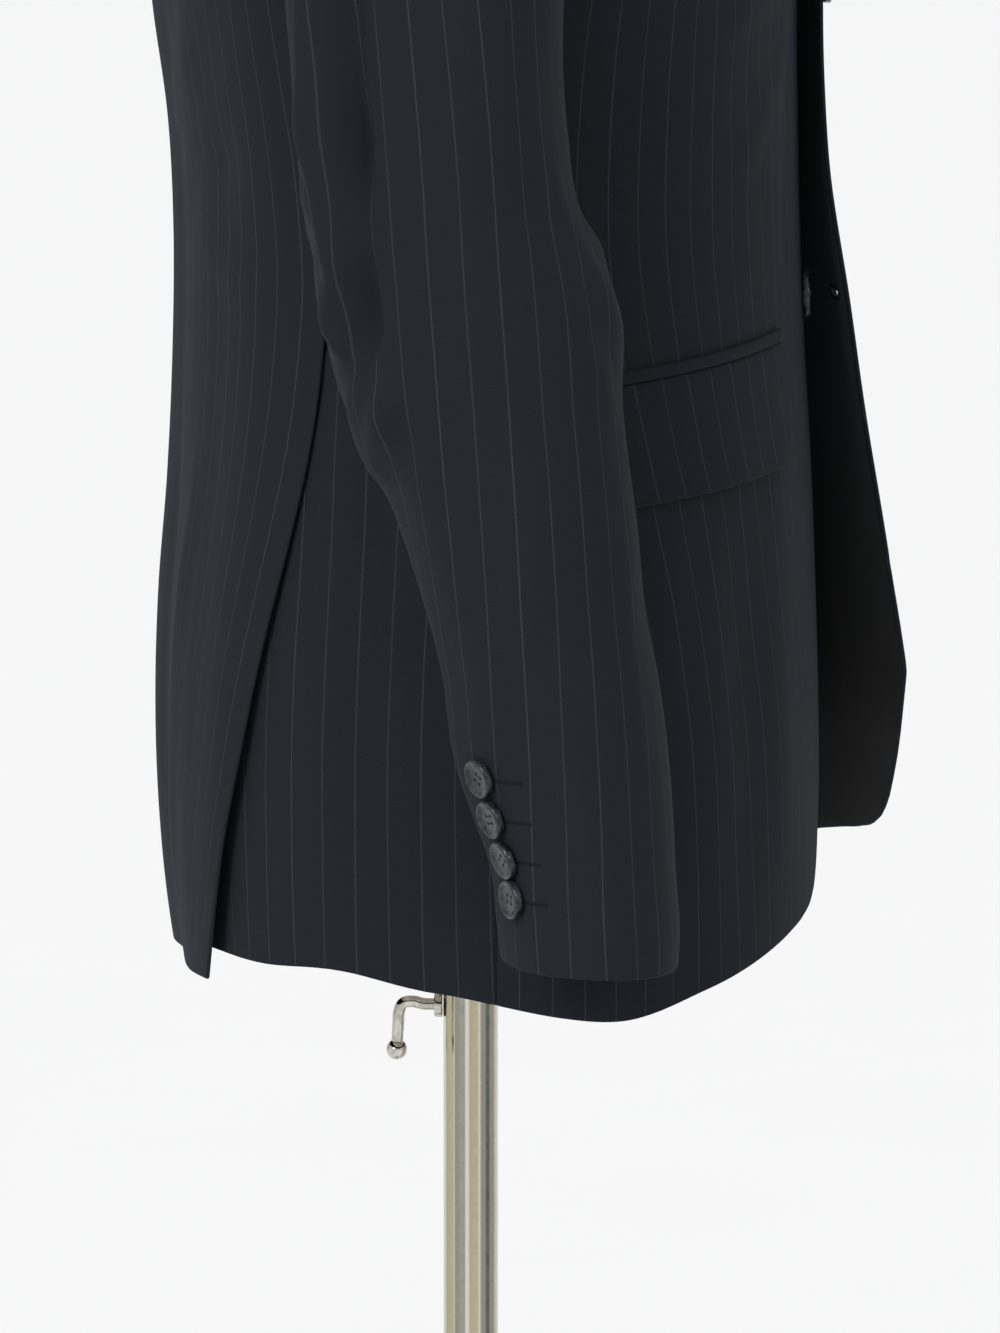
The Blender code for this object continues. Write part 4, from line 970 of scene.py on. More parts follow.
def sleeve_relief(side, degrees, height):
    strength = bpy.context.scene.jacket_cloth.creases
    degrees = np.where(degrees > 335, degrees - 360, degrees)
    if side == LEFT:
        relief = creases(SLEEVE_CREASES, SLEEVE_METRES, degrees - 4, height + 0.008, 0.85 * strength)
    else:
        relief = creases(SLEEVE_CREASES, SLEEVE_METRES, degrees, height, strength)
    low = creases(SLEEVE_CREASES[:1], SLEEVE_METRES, degrees, height, 0.0)
    sway = np.sin(degrees / 17.0 + 11 * height + side) * np.sin(23 * height + degrees / 40.0)
    return relief + low + 0.0005 * strength * sway * ease((height - 0.8) / 0.04)


def sleeve_grid(side, span, count):
    degrees = (span[0] + (span[1] - span[0]) * places(count, 0.0009 * (span[1] - span[0])))[None, :]
    top = np.concatenate([np.sqrt(NEAR / 0.5), np.linspace(0.1, 1, 58)[:-1]])
    low = 1 + places(112, SLEEVE_TOP - CUFF_Z, from_start=False)
    row = np.concatenate([top, low])[:, None]
    points = sleeve_smooth(side, degrees, row)
    centre = np.stack([side * SLEEVE(points[..., 2], "x"), SLEEVE(points[..., 2], "y"), points[..., 2]], axis=-1)
    normals, _ = grid_normals(points, points - centre)
    relief = sleeve_relief(side, np.broadcast_to(degrees, points.shape[:2]), points[..., 2])
    relief = relief * ease((row - 0.12) / 0.5)
    return points + normals * relief[..., None], points - centre, degrees, row


def grain_start(side, row):
    """Length of cloth from the front of the sleeve to the line that the stripes run along, for each row."""
    degrees = np.linspace(0, 180, 91)[None, :]
    points = sleeve_smooth(side, degrees, row)
    length = run_length(points, 1)
    starts = []
    for ring, run in zip(points, length):
        line = SLEEVE_GRAIN(ring[:, 2].mean(), "y")
        starts.append(np.interp(line, ring[:, 1], run))
    return np.array(starts)[:, None]


def make_sleeves():
    """The two parts of a sleeve meet at its front and back seams."""
    gap = math.degrees(LAPPED / 0.045) / 2
    for word, side in SIDES.items():
        for part, span, count in (("top", TOP_SLEEVE_DEGREES, 74), ("under", UNDER_SLEEVE_DEGREES, 46)):
            points, away, degrees, row = sleeve_grid(side, (span[0] + gap, span[1] - gap), count)
            front = sleeve_smooth(side, np.linspace(0, span[0] + gap, 20)[None, :], np.clip(row, 1, 2))
            offset = run_length(front, 1)[:, -1:] * (1 if span[0] > 0 else -1)
            level = np.clip(row, 1, 2)
            smooth = sleeve_smooth(side, degrees, level)
            across = offset + run_length(smooth, 1) - grain_start(side, level)
            angle, moved = np.radians(degrees), np.where(row < 1, 1.0, 0.0)[..., None] * (points - smooth)
            across = across + np.sin(angle) * moved[..., 1] + np.cos(angle) * moved[..., 0] * side
            uv = np.stack([across, run_length(points, 0) * -1], axis=-1)
            name = f"sleeve_{part}_{word}"
            make_sheet(f"cloth_{name}", points, uv, "abc", name, away, CUTS[f"sleeve_{part}"])


def pocket_place(side, column, drop, lift):
    degrees = blend(*POCKET_DEGREES, column)
    height = blend(*POCKET_HEIGHTS, column) - drop
    degrees, height = np.broadcast_arrays(degrees, height)
    points = on_front(side, degrees, height, lift)
    return points, np.stack([ring_length(degrees, height), height], axis=-1)


def make_pockets():
    """A jet with a flap below it on each front, higher at its front end."""
    for word, side in SIDES.items():
        column = places(90, 0.17)[None, :]
        row = places(5, JET_HEIGHT + 0.008)[:, None]
        row = (row - row[0]) / (row[-1] - row[0])
        puff = 0.0004 * np.sin(np.pi * row)
        points, uv = pocket_place(side, column, JET_HEIGHT * row, ON_PANEL + puff + 0 * column)
        rests = [f"cloth_front_{word}"]
        jet = (f"cloth_pocket_jet_{word}", points, uv * np.array([0, 1]) + 0.005, "", f"pocket_jet_{word}")
        make_sheet(*jet, cut=CUTS["jet"], held="laid", rests_on=rests)
        row = places(22, FLAP_HEIGHT)[:, None]
        from_end = np.minimum(column, 1 - column)
        short = 1 - np.clip(from_end / FLAP_CORNER, 0, 1)
        length = FLAP_HEIGHT * (1 - 0.16 * short**3)
        curl = 0.0007 * np.sin(column * 9 + side) * row**2 + 0.0006 * ease((row - 0.75) / 0.25)
        lift = ON_PANEL + FLAP_STAND_OFF * row + np.maximum(curl, -0.0002)
        points, uv = pocket_place(side, column, JET_HEIGHT + GAP + length * row, lift)
        flap = (f"cloth_pocket_flap_{word}", points, uv + np.array([0.0012, 0.0]), "c", f"pocket_flap_{word}")
        make_sheet(*flap, cut=CUTS["flap"], held="hung", rests_on=rests)


# ---------------------------------------------------------------- small helpers for modelling by hand


def deselect():
    if bpy.context.object and bpy.context.object.mode != "OBJECT":
        bpy.ops.object.mode_set(mode="OBJECT")
    bpy.ops.object.select_all(action="DESELECT")


def pick(piece, kind, test):
    """Goes into edit mode with only the faces, edges or vertices selected whose middle passes a test."""
    deselect()
    bpy.context.view_layer.objects.active = piece
    piece.select_set(True)
    bpy.ops.object.mode_set(mode="EDIT")
    bpy.ops.mesh.select_mode(type=kind)
    bpy.ops.mesh.select_all(action="DESELECT")
    bpy.ops.object.mode_set(mode="OBJECT")
    mesh = piece.data
    if kind == "FACE":
        for face in mesh.polygons:
            face.select = bool(test(face.center, face.normal))
    elif kind == "EDGE":
        for edge in mesh.edges:
            first, last = (mesh.vertices[corner].co for corner in edge.vertices)
            edge.select = bool(test((first + last) / 2, last - first))
    else:
        for vertex in mesh.vertices:
            vertex.select = bool(test(vertex.co, vertex.normal))
    bpy.ops.object.mode_set(mode="EDIT")


def leave():
    bpy.ops.object.mode_set(mode="OBJECT")


def modify(piece, kind, **settings):
    deselect()
    bpy.context.view_layer.objects.active = piece
    piece.select_set(True)
    modifier = piece.modifiers.new(kind.lower(), kind)
    for name, value in settings.items():
        setattr(modifier, name, value)
    bpy.ops.object.modifier_apply(modifier=modifier.name)


def added(name):
    piece = bpy.context.object
    piece.name = name
    piece.data.name = name
    return piece


def join(pieces):
    deselect()
    for piece in pieces:
        piece.select_set(True)
    bpy.context.view_layer.objects.active = pieces[0]
    bpy.ops.object.join()
    return bpy.context.object


def settle(piece):
    """Moves a piece's place, turn and scale into its mesh."""
    deselect()
    piece.select_set(True)
    bpy.context.view_layer.objects.active = piece
    bpy.ops.object.transform_apply(location=True, rotation=True, scale=True)


def smooth(piece, degrees=35):
    deselect()
    piece.select_set(True)
    bpy.context.view_layer.objects.active = piece
    bpy.ops.object.shade_smooth_by_angle(angle=math.radians(degrees))


def outwards(piece):
    """Merges doubles and turns every face outwards."""
    pick(piece, "VERT", lambda place, normal: True)
    bpy.ops.mesh.remove_doubles(threshold=1e-6)
    bpy.ops.mesh.normals_make_consistent(inside=False)
    leave()


def carried(piece, body, finish, nodes=()):
    settle(piece)
    if finish:
        piece.data.materials.clear()
        piece.data.materials.append(bpy.data.materials[finish])
    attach(piece, body)
    if nodes:
        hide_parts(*nodes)
    return piece


def turn_up(name, segments, rings):
    """A round piece, made from a disc that is extruded and scaled to one (radius, height) after the other."""
    deselect()
    radius, height = rings[0]
    bpy.ops.mesh.primitive_circle_add(
        vertices=segments, radius=radius, fill_type="NGON", location=(0, 0, height), enter_editmode=True
    )
    bpy.ops.mesh.select_all(action="SELECT")
    for next_radius, next_height in rings[1:]:
        bpy.ops.mesh.extrude_region_move(TRANSFORM_OT_translate={"value": (0, 0, next_height - height)})
        if abs(next_radius - radius) > 1e-7:
            share = next_radius / radius
            bpy.ops.transform.resize(value=(share, share, 1), center_override=(0, 0, next_height))
        radius, height = next_radius, next_height
    leave()
    piece = added(name)
    settle(piece)
    outwards(piece)
    return piece


# ---------------------------------------------------------------- buttonholes


def on_left_front(x, z, lift):
    x, z = np.broadcast_arrays(np.asarray(x, float), np.asarray(z, float))
    return on_front(LEFT, degrees_at_x(x, z), z, lift + 0.0 * x)


HOLE_FROM = -0.0025
HOLE_TO = 0.0175
HOLE_HALF = 0.0013


def slot_outline(start, end, half, count):
    """Points round a slot with round ends, as distances across and up."""
    points = []
    straight = end - start - 2 * half
    total = 2 * straight + 2 * math.pi * half
    for number in range(count):
        run = total * number / count
        if run < straight:
            points.append((start + half + run, -half))
        elif run < straight + math.pi * half:
            angle = (run - straight) / half - math.pi / 2
            points.append((end - half + half * math.cos(angle), half * math.sin(angle)))
        elif run < 2 * straight + math.pi * half:
            points.append((end - half - (run - straight - math.pi * half), half))
        else:
            angle = (run - 2 * straight - math.pi * half) / half + math.pi / 2
            points.append((start + half + half * math.cos(angle), half * math.sin(angle)))
    return np.array(points)


def cut_buttonhole(front):
    """Cuts the open lower buttonhole through the left front."""
    outline = slot_outline(HOLE_FROM, HOLE_TO, HOLE_HALF, 48)
    rings = [on_left_front(outline[:, 0], LOW_BUTTON_Z + outline[:, 1], lift) for lift in (-0.004, 0.004)]
    count = len(outline)
    points = np.concatenate(rings)
    faces = [[n, (n + 1) % count, count + (n + 1) % count, count + n] for n in range(count)]
    faces += [list(range(count))[::-1], list(range(count, 2 * count))]
    mesh = bpy.data.meshes.new("slot_cutter")
    mesh.from_pydata(points.tolist(), [], faces)
    mesh.materials.append(bpy.data.materials["worsted"])
    cutter = bpy.data.objects.new("slot_cutter", mesh)
    bpy.context.scene.collection.objects.link(cutter)
    outwards(cutter)
    modify(front, "BOOLEAN", operation="DIFFERENCE", solver="EXACT", object=cutter)
    bpy.data.objects.remove(cutter, do_unlink=True)


def stitched_rim(name, centre, body, nodes_on, radius=0.0003, stitches=70):
    """A row of buttonhole stitches along a closed line of points, each stitch a low bump of the thread."""
    count = len(centre)
    ahead = np.roll(centre, -1, axis=0) - np.roll(centre, 1, axis=0)
    ahead /= np.linalg.norm(ahead, axis=1, keepdims=True)
    sideways = np.cross(ahead, nodes_on)
    sideways /= np.linalg.norm(sideways, axis=1, keepdims=True)
    rings = []
    for number in range(8):
        angle = 2 * math.pi * number / 8
        bump = 1 + 0.16 * np.cos(2 * math.pi * stitches * np.arange(count) / count)
        offset = sideways * math.cos(angle) * 1.7 + nodes_on * math.sin(angle)
        rings.append(centre + offset * (radius * bump)[:, None])
    points = np.stack(rings, axis=1).reshape(-1, 3)
    faces = []
    for number in range(count):
        after = (number + 1) % count
        for step in range(8):
            near, far = step, (step + 1) % 8
            faces.append([number * 8 + near, after * 8 + near, after * 8 + far, number * 8 + far])
    mesh = bpy.data.meshes.new(name)
    mesh.from_pydata(points.tolist(), [], faces)
    mesh.materials.append(bpy.data.materials["silk_thread"])
    mesh.shade_smooth()
    piece = add_piece(name, mesh, body)
    outwards(piece)
    return piece


def make_front_buttonholes():
    for name, height, half in (("low", LOW_BUTTON_Z, HOLE_HALF + 0.0002), ("top", TOP_BUTTON_Z, 0.0006)):
        outline = slot_outline(HOLE_FROM - 0.0004, HOLE_TO + 0.0004, half + 0.0003, 420)
        for face, lift in (("outer", CLOTH / 2 + 0.0001), ("inner", -CLOTH / 2 - 0.0001)):
            centre = on_left_front(outline[:, 0], height + outline[:, 1], lift)
            normal = on_left_front(outline[:, 0], height + outline[:, 1], lift + 0.001) - centre
            normal /= np.linalg.norm(normal, axis=1, keepdims=True)
            stitched_rim(f"buttonhole_{name}_{face}", centre, "form", normal)


def sleeve_place(side, degrees, height, lift):
    """Points on the sleeve at a distance outside the middle of its cloth, and the normals there."""
    degrees, height = np.broadcast_arrays(np.asarray(degrees, float), np.asarray(height, float))

    def surface(a, b):
        base = sleeve_ring(side, a, b)
        centre = np.stack([side * SLEEVE(b, "x"), SLEEVE(b, "y"), b], axis=-1)
        away = (base - centre) * np.array([1.0, 1.0, 0.0])
        away /= np.linalg.norm(away, axis=-1, keepdims=True)
        return base + away * sleeve_relief(side, a, base[..., 2])[..., None]

    first = surface(degrees + 0.2, height) - surface(degrees - 0.2, height)
    second = surface(degrees, height + 0.001) - surface(degrees, height - 0.001)
    normal = np.cross(first, second)
    normal /= np.linalg.norm(normal, axis=-1, keepdims=True)
    normal *= np.where(normal[..., 0] * side < 0, -1.0, 1.0)[..., None]
    return surface(degrees, height) + normal * lift, normal


def make_cuff_buttonholes():
    """Short sewn lines beside the sleeve buttons, which stand for buttonholes but aren't cut."""
    for word, side in SIDES.items():
        for number, (height, degrees) in enumerate(zip(CUFF_BUTTON_HEIGHTS, CUFF_BUTTON_DEGREES), 1):
            outline = slot_outline(0.0, 15.0 * SLEEVE_METRES, 0.00032, 200)
            place = degrees - 9 - outline[:, 0] / SLEEVE_METRES
            centre, normal = sleeve_place(side, place, height - 0.0006 + outline[:, 1], CLOTH / 2)
            stitched_rim(f"cuff_hole_{word}_{number}", centre, "form", normal, radius=0.00022, stitches=40)


# ---------------------------------------------------------------- buttons


def model_button(name, radius, height):
    """A four-hole button with a round rim and a dished face, on a short shank of thread, its back at height 0."""
    deselect()
    bpy.ops.mesh.primitive_cylinder_add(vertices=64, radius=radius, depth=height, location=(0, 0, height / 2))
    piece = added(name)
    settle(piece)
    pick(piece, "FACE", lambda place, normal: normal.z > 0.9)
    for inset, sink in ((0.15, 0.0), (0.13, 0.24), (0.14, 0.1), (0.2, 0.03)):
        bpy.ops.mesh.inset(thickness=inset * radius)
        bpy.ops.transform.translate(value=(0, 0, -sink * height))
    leave()
    pick(piece, "FACE", lambda place, normal: normal.z < -0.9)
    bpy.ops.mesh.inset(thickness=0.1 * radius)
    bpy.ops.transform.translate(value=(0, 0, -0.1 * height))
    leave()
    rim = 0.97 * radius
    pick(piece, "EDGE", lambda place, line: place.xy.length > rim and abs(line.z) < 1e-6)
    bpy.ops.mesh.bevel(offset=0.26 * height, segments=4, affect="EDGES")
    leave()
    holes = []
    for x, y in ((1, 1), (1, -1), (-1, 1), (-1, -1)):
        deselect()
        place = (0.19 * radius * x, 0.19 * radius * y, height * 0.4)
        bpy.ops.mesh.primitive_cylinder_add(vertices=20, radius=0.085 * radius, depth=2 * height, location=place)
        holes.append(added("hole"))
    cutter = join(holes)
    settle(cutter)
    modify(piece, "BOOLEAN", operation="DIFFERENCE", solver="EXACT", object=cutter)
    bpy.data.objects.remove(cutter, do_unlink=True)
    smooth(piece, 40)
    piece.data.materials.append(bpy.data.materials["polished_horn"])
    thread = []
    deselect()
    bpy.ops.mesh.primitive_cylinder_add(
        vertices=20, radius=0.26 * radius, depth=0.0022, location=(0, 0, -0.0009)
    )
    thread.append(added("shank"))
    pick(thread[0], "FACE", lambda place, normal: abs(normal.z) < 0.5)
    bpy.ops.mesh.subdivide(number_cuts=4)
    leave()
    for x in (1, -1):
        for y in (1, -1):
            deselect()
            place = (0.19 * radius * x, 0.19 * radius * y, height * 0.18)
            bpy.ops.mesh.primitive_uv_sphere_add(
                segments=12, ring_count=8, radius=0.078 * radius, location=place, scale=(1, 1, 1.8)
            )
            thread.append(added("end"))
        deselect()
        place = (0.19 * radius * x, 0, height * 0.56)
        bpy.ops.mesh.primitive_torus_add(
            major_segments=24,
            minor_segments=8,
            major_radius=0.19 * radius,
            minor_radius=0.05 * radius,
            location=place,
            rotation=(0, math.pi / 2, 0),
        )
        bar = added("bar")
        settle(bar)
        lower, raised = Matrix.Translation((0, 0, -height * 0.56)), Matrix.Translation((0, 0, height * 0.54))
        bar.data.transform(raised @ Matrix.Scale(0.16, 4, (0, 0, 1)) @ lower)
        thread.append(bar)
    sewn = join(thread)
    settle(sewn)
    smooth(sewn, 60)
    sewn.data.materials.clear()
    sewn.data.materials.append(bpy.data.materials["silk_thread"])
    piece = join([piece, sewn])
    piece.name = name
    return piece


def set_button(model, name, node, seat, normal, turn):
    """A copy of a button model with its back at the seat."""
    mesh = model.data.copy()
    mesh.name = name
    way = Vector(normal).to_track_quat("Z", "Y").to_matrix().to_4x4()
    mesh.transform(Matrix.Translation(Vector(seat)) @ way @ Matrix.Rotation(math.radians(turn), 4, "Z"))
    return add_piece(name, mesh, "form", [node])


def make_front_buttons():
    model = model_button("front_button_model", *FRONT_BUTTON)
    lift = CLOTH / 2 + GAP
    for name, side, height, turn in (("top", LEFT, TOP_BUTTON_Z, 12), ("low", RIGHT, LOW_BUTTON_Z, 38)):
        seat = on_front(side, np.array(0.0), np.array(height), np.array(lift))
        normal = seat - on_front(side, np.array(0.0), np.array(height), np.array(0.0))
        set_button(model, f"horn_button_{name}", f"button_{name}", seat, normal, turn)
    bpy.data.objects.remove(model, do_unlink=True)


def make_cuff_buttons():
    model = model_button("cuff_button_model", *CUFF_BUTTON)
    lift = CLOTH / 2 + GAP + 0.0005
    for word, side in SIDES.items():
        for number, (height, degrees) in enumerate(zip(CUFF_BUTTON_HEIGHTS, CUFF_BUTTON_DEGREES), 1):
            seat, normal = sleeve_place(side, degrees, height, lift)
            name = f"cuff_button_{word}_{number}"
            set_button(model, f"horn_{name}", name, seat, normal, 23 + 37 * number)
    bpy.data.objects.remove(model, do_unlink=True)


# ---------------------------------------------------------------- dress form and stand


def form_ring(height, angles):
    inset = FORM_INSET(height, "inset")
    low = np.minimum(height, NECK_Z - 0.004)
    power = TORSO(low, "power")
    full = TORSO(low, "half_width") - inset
    half = np.minimum(full, NECK_X + (NECK_Z - FORM_SHOULDER_DROP - low) / SHOULDER_SLOPE)
    to_neck = ease((height - FORM_NECK_FROM) / (FORM_NECK_FULL - FORM_NECK_FROM))
    sine, cosine = np.sin(angles), np.cos(angles)
    x = half * signed_power(sine, 2 / power)
    reach = np.where(cosine > 0, TORSO(low, "front"), TORSO(low, "back")) - inset
    depth = reach * np.maximum(1 - (np.abs(x) / full) ** power, 0.0) ** (1 / power)
    y = blend(SHOULDER_Y, np.where(cosine > 0, -depth, depth), closing(np.abs(x), low, FORM_SHOULDER_DROP))
    x, y = blend(x, FORM_NECK_X * sine, to_neck), blend(y, -FORM_NECK_Y * cosine, to_neck)
    return np.stack([x, y, np.broadcast_to(height, x.shape)], axis=-1)


def make_form():
    """The canvas body of the form, closed below and at the neck, with its sewn seams as fine grooves."""
    heights = np.concatenate([np.linspace(FORM_BOTTOM, 0.86, 12)[:-1], np.linspace(0.86, 1.38, 50)[:-1]])
    heights = np.concatenate([heights, np.linspace(1.38, FORM_TOP, 46)])[:, None]
    angles = np.linspace(0, 2 * np.pi, 145)[None, :-1]
    points = form_ring(heights, angles)
    share = ease((heights - FORM_TOP + 0.006) / 0.006)[..., None]
    points[..., :2] *= 1 - 0.07 * share
    for seam in (0.0, 0.62, 2.45, math.pi):
        for angle in (seam, 2 * math.pi - seam):
            away = np.abs((angles - angle + np.pi) % (2 * np.pi) - np.pi)
            groove = 0.006 * np.exp(-((away / 0.022) ** 2)) * ease((1.47 - heights) / 0.02)
            points[..., :2] *= (1 - groove)[..., None]
    count = angles.shape[1]
    rings = [ring for ring in points]
    for factor, drop in ((0.86, 0.0006), (0.5, 0.0008), (0.2, 0.0009)):
        rings.append(points[-1] * np.array([factor, factor, 1.0]) - np.array([0, 0, drop]))
        rings.insert(0, points[0] * np.array([factor, factor, 1.0]))
    flat = np.concatenate(rings + [[[0, 0, FORM_BOTTOM]], [[0, 0, FORM_TOP - 0.0009]]])
    faces = []
    for start in range(0, (len(rings) - 1) * count, count):
        for number in range(count):
            after = (number + 1) % count
            faces.append([start + number, start + after, start + count + after, start + count + number])
    last = (len(rings) - 1) * count
    for number in range(count):
        after = (number + 1) % count
        faces.append([len(flat) - 2, after, number])
        faces.append([len(flat) - 1, last + number, last + after])
    mesh = bpy.data.meshes.new("canvas_form")
    mesh.from_pydata(flat.tolist(), [], faces)
    mesh.materials.append(bpy.data.materials["plain_canvas"])
    around = np.arctan2(flat[:, 0], -flat[:, 1]) * 0.15
    set_uv(mesh, np.stack([around, flat[:, 2]], axis=-1))
    mesh.shade_smooth()
    piece = add_piece("canvas_form", mesh, "form", ["dress_form"])
    outwards(piece)


def make_stand():
    base = turn_up(
        "chrome_base",
        128,
        [
            (0.159, 0.0),
            (0.16, 0.0008),
            (0.16, 0.0036),
            (0.1592, 0.0047),
            (0.157, 0.0052),
            (0.11, 0.0071),
            (0.062, 0.0089),
            (0.042, 0.0112),
            (0.029, 0.015),
            (0.0218, 0.0196),
            (0.0206, 0.0212),
            (0.0206, 0.0398),
            (0.0198, 0.0414),
            (0.0184, 0.042),
            (0.0114, 0.042),
            (0.0113, 0.015),
            (0.0113, 0.012),
        ],
    )
    smooth(base, 50)
    carried(base, "stand", "bright_chrome", ["stand_base"])
    deselect()
    depth = POLE_TOP - POLE_FOOT
    bpy.ops.mesh.primitive_cylinder_add(
        vertices=96, radius=POLE_RADIUS, depth=depth, end_fill_type="NOTHING", location=(0, 0, POLE_FOOT + depth / 2)
    )
    tube = added("chrome_tube")
    settle(tube)
    for step in (1, 2, 3, 4):
        share = 1 - FLUTE_DEPTH * (0.5 - 0.5 * math.cos(math.pi * step / 4)) / POLE_RADIUS

        def at_step(place, normal, step=step):
            number = round(math.degrees(math.atan2(place.y, place.x)) / 3.75) % 8
            return min(number, 8 - number) == step

        pick(tube, "VERT", at_step)
        bpy.ops.transform.resize(value=(share, share, 1), center_override=(0, 0, 0))
        leave()
    outwards(tube)
    modify(tube, "SOLIDIFY", thickness=0.0013, offset=-1.0, use_even_offset=True)
    smooth(tube, 60)
    carried(tube, "stand", "bright_chrome", ["stand_tube"])
    deselect()
    top = FORM_BOTTOM - GAP
    bpy.ops.mesh.primitive_cylinder_add(vertices=96, radius=INNER_RADIUS, depth=0.33, location=(0, 0, top - 0.165))
    inner = added("chrome_inner_tube")
    settle(inner)
    pick(inner, "FACE", lambda place, normal: abs(normal.z) > 0.9)
    bpy.ops.mesh.inset(thickness=0.0012)
    leave()
    modify(inner, "BEVEL", width=0.0004, segments=2, limit_method="ANGLE")
    smooth(inner, 40)
    carried(inner, "form", "bright_chrome", ["inner_tube"])
    deselect()
    low = POLE_TOP + GAP
    bpy.ops.mesh.primitive_cylinder_add(
        vertices=96, radius=0.015, depth=0.0177, end_fill_type="NOTHING", location=(0, 0, low + 0.00885)
    )
    stop = added("chrome_stop")
    settle(stop)
    modify(stop, "SOLIDIFY", thickness=0.006, offset=-1.0, use_even_offset=True)
    modify(stop, "BEVEL", width=0.0009, segments=3, limit_method="ANGLE")
    for z in (low + 0.0055, low + 0.0122):
        pick(stop, "FACE", lambda place, normal: False)
        bpy.ops.mesh.select_all(action="SELECT")
        bpy.ops.mesh.bisect(plane_co=(0, 0, z), plane_no=(0, 0, 1))
        leave()
    smooth(stop, 40)
    carried(stop, "form", "bright_chrome", ["stop_collar"])
    deselect()
    bpy.ops.mesh.primitive_cylinder_add(
        vertices=24,
        radius=0.0052,
        depth=0.0032,
        end_fill_type="NOTHING",
        location=(0, 0.0113 + 0.0016, CLAMP_Z),
        rotation=(math.pi / 2, 0, 0),
    )
    nut = added("chrome_nut")
    settle(nut)
    outwards(nut)
    modify(nut, "SOLIDIFY", thickness=0.0025, offset=-1.0, use_even_offset=True)
    modify(nut, "BEVEL", width=0.0005, segments=3, limit_method="ANGLE")
    smooth(nut, 40)
    carried(nut, "stand", "bright_chrome", ["clamp_nut"])


def make_handle():
    """The clamp's bent rod with its ball."""
    deselect()
    bpy.ops.curve.primitive_bezier_curve_add(location=(0, 0, 0))
    rod = added("chrome_handle")
    spline = rod.data.splines[0]
    spline.bezier_points.add(len(HANDLE_ROUTE) - 2)
    for point, (y, z) in zip(spline.bezier_points, HANDLE_ROUTE):
        point.co = (0, y, z)
        point.handle_left_type = point.handle_right_type = "AUTO"
    rod.data.dimensions = "3D"
    rod.data.resolution_u = 10
    rod.data.bevel_depth = 0.0024
    rod.data.bevel_resolution = 8
    rod.data.use_fill_caps = True
    bpy.ops.object.convert(target="MESH")
    rod = bpy.context.object
    deselect()
    y, z = HANDLE_ROUTE[-1]
    bpy.ops.mesh.primitive_uv_sphere_add(segments=40, ring_count=24, radius=0.0042, location=(0, y, z))
    ball = added("ball")
    settle(ball)
    modify(rod, "BOOLEAN", operation="UNION", solver="EXACT", object=ball)
    bpy.data.objects.remove(ball, do_unlink=True)
    smooth(rod, 40)
    carried(rod, "clamp", "bright_chrome", ["clamp_handle"])


# ---------------------------------------------------------------- materials


class Value:
    """What comes out of a node. Arithmetic on it adds Math nodes to the same tree."""

    def __init__(self, nodes, node, output=0):
        self.nodes = nodes
        self.node = node
        self.socket = node.outputs[output]

    def out(self, output):
        return Value(self.nodes, self.node, output)

    def math(self, operation, *others):
        return self.nodes.add("ShaderNodeMath", {"operation": operation}, dict(enumerate((self, *others))))

    def __add__(self, other):
        return self.math("ADD", other)

    __radd__ = __add__

    def __mul__(self, other):
        return self.math("MULTIPLY", other)

    __rmul__ = __mul__

    def __sub__(self, other):
        return self.math("SUBTRACT", other)

    def __rsub__(self, other):
        return self.nodes.add("ShaderNodeMath", {"operation": "SUBTRACT"}, {0: other, 1: self})

    def __truediv__(self, other):
        return self.math("DIVIDE", other)

    def __gt__(self, other):
        return self.math("GREATER_THAN", other)


class Nodes:
    """The nodes of one material or of the world."""

    def __init__(self, tree):
        self.tree = tree

    def add(self, kind, settings=None, values=None):
        """A node of a type, with its settings set first and then the values or links of its sockets."""
        node = self.tree.nodes.new(kind)
        for name, setting in (settings or {}).items():
            if name == "stops":
                elements = node.color_ramp.elements
                elements.remove(elements[1])
                elements[0].position, elements[0].color = setting[0][0], (*setting[0][1], 1)
                for place, colour in setting[1:]:
                    elements.new(place).color = (*colour, 1)
            else:
                setattr(node, name, setting)
        for name, value in (values or {}).items():
            if isinstance(value, Value):
                self.tree.links.new(value.socket, node.inputs[name])
            else:
                node.inputs[name].default_value = value
        return Value(self, node)

    def mix(self, factor, first, second):
        first, second = ((*c, 1) if isinstance(c, (tuple, list)) else c for c in (first, second))
        return self.add("ShaderNodeMix", {"data_type": "RGBA"}, {0: factor, 6: first, 7: second}).out(2)

    def shade(self, factor, colour):
        """A colour made lighter or darker by a value."""
        vector = self.add("ShaderNodeCombineXYZ", values={0: factor, 1: factor, 2: factor})
        return self.mix_multiply(colour, vector)

    def mix_multiply(self, first, second):
        first, second = ((*c, 1) if isinstance(c, (tuple, list)) else c for c in (first, second))
        settings = {"data_type": "RGBA", "blend_type": "MULTIPLY"}
        return self.add("ShaderNodeMix", settings, {0: 1.0, 6: first, 7: second}).out(2)

    def noise(self, vector, scale, detail=2.0, roughness=0.5, distortion=0.0):
        values = {"Vector": vector, "Scale": scale, "Detail": detail, "Roughness": roughness}
        return self.add("ShaderNodeTexNoise", values={**values, "Distortion": distortion})

    def smooth_step(self, value, start, end, at_start=0.0, at_end=1.0):
        values = {"Value": value, "From Min": start, "From Max": end, "To Min": at_start, "To Max": at_end}
        return self.add("ShaderNodeMapRange", {"interpolation_type": "SMOOTHSTEP"}, values)

    def bump(self, height, distance=0.001, strength=1.0):
        return self.add("ShaderNodeBump", values={"Height": height, "Distance": distance, "Strength": strength})


def socket_name(word):
    return word.replace("_", " ").title().replace("Ior", "IOR")


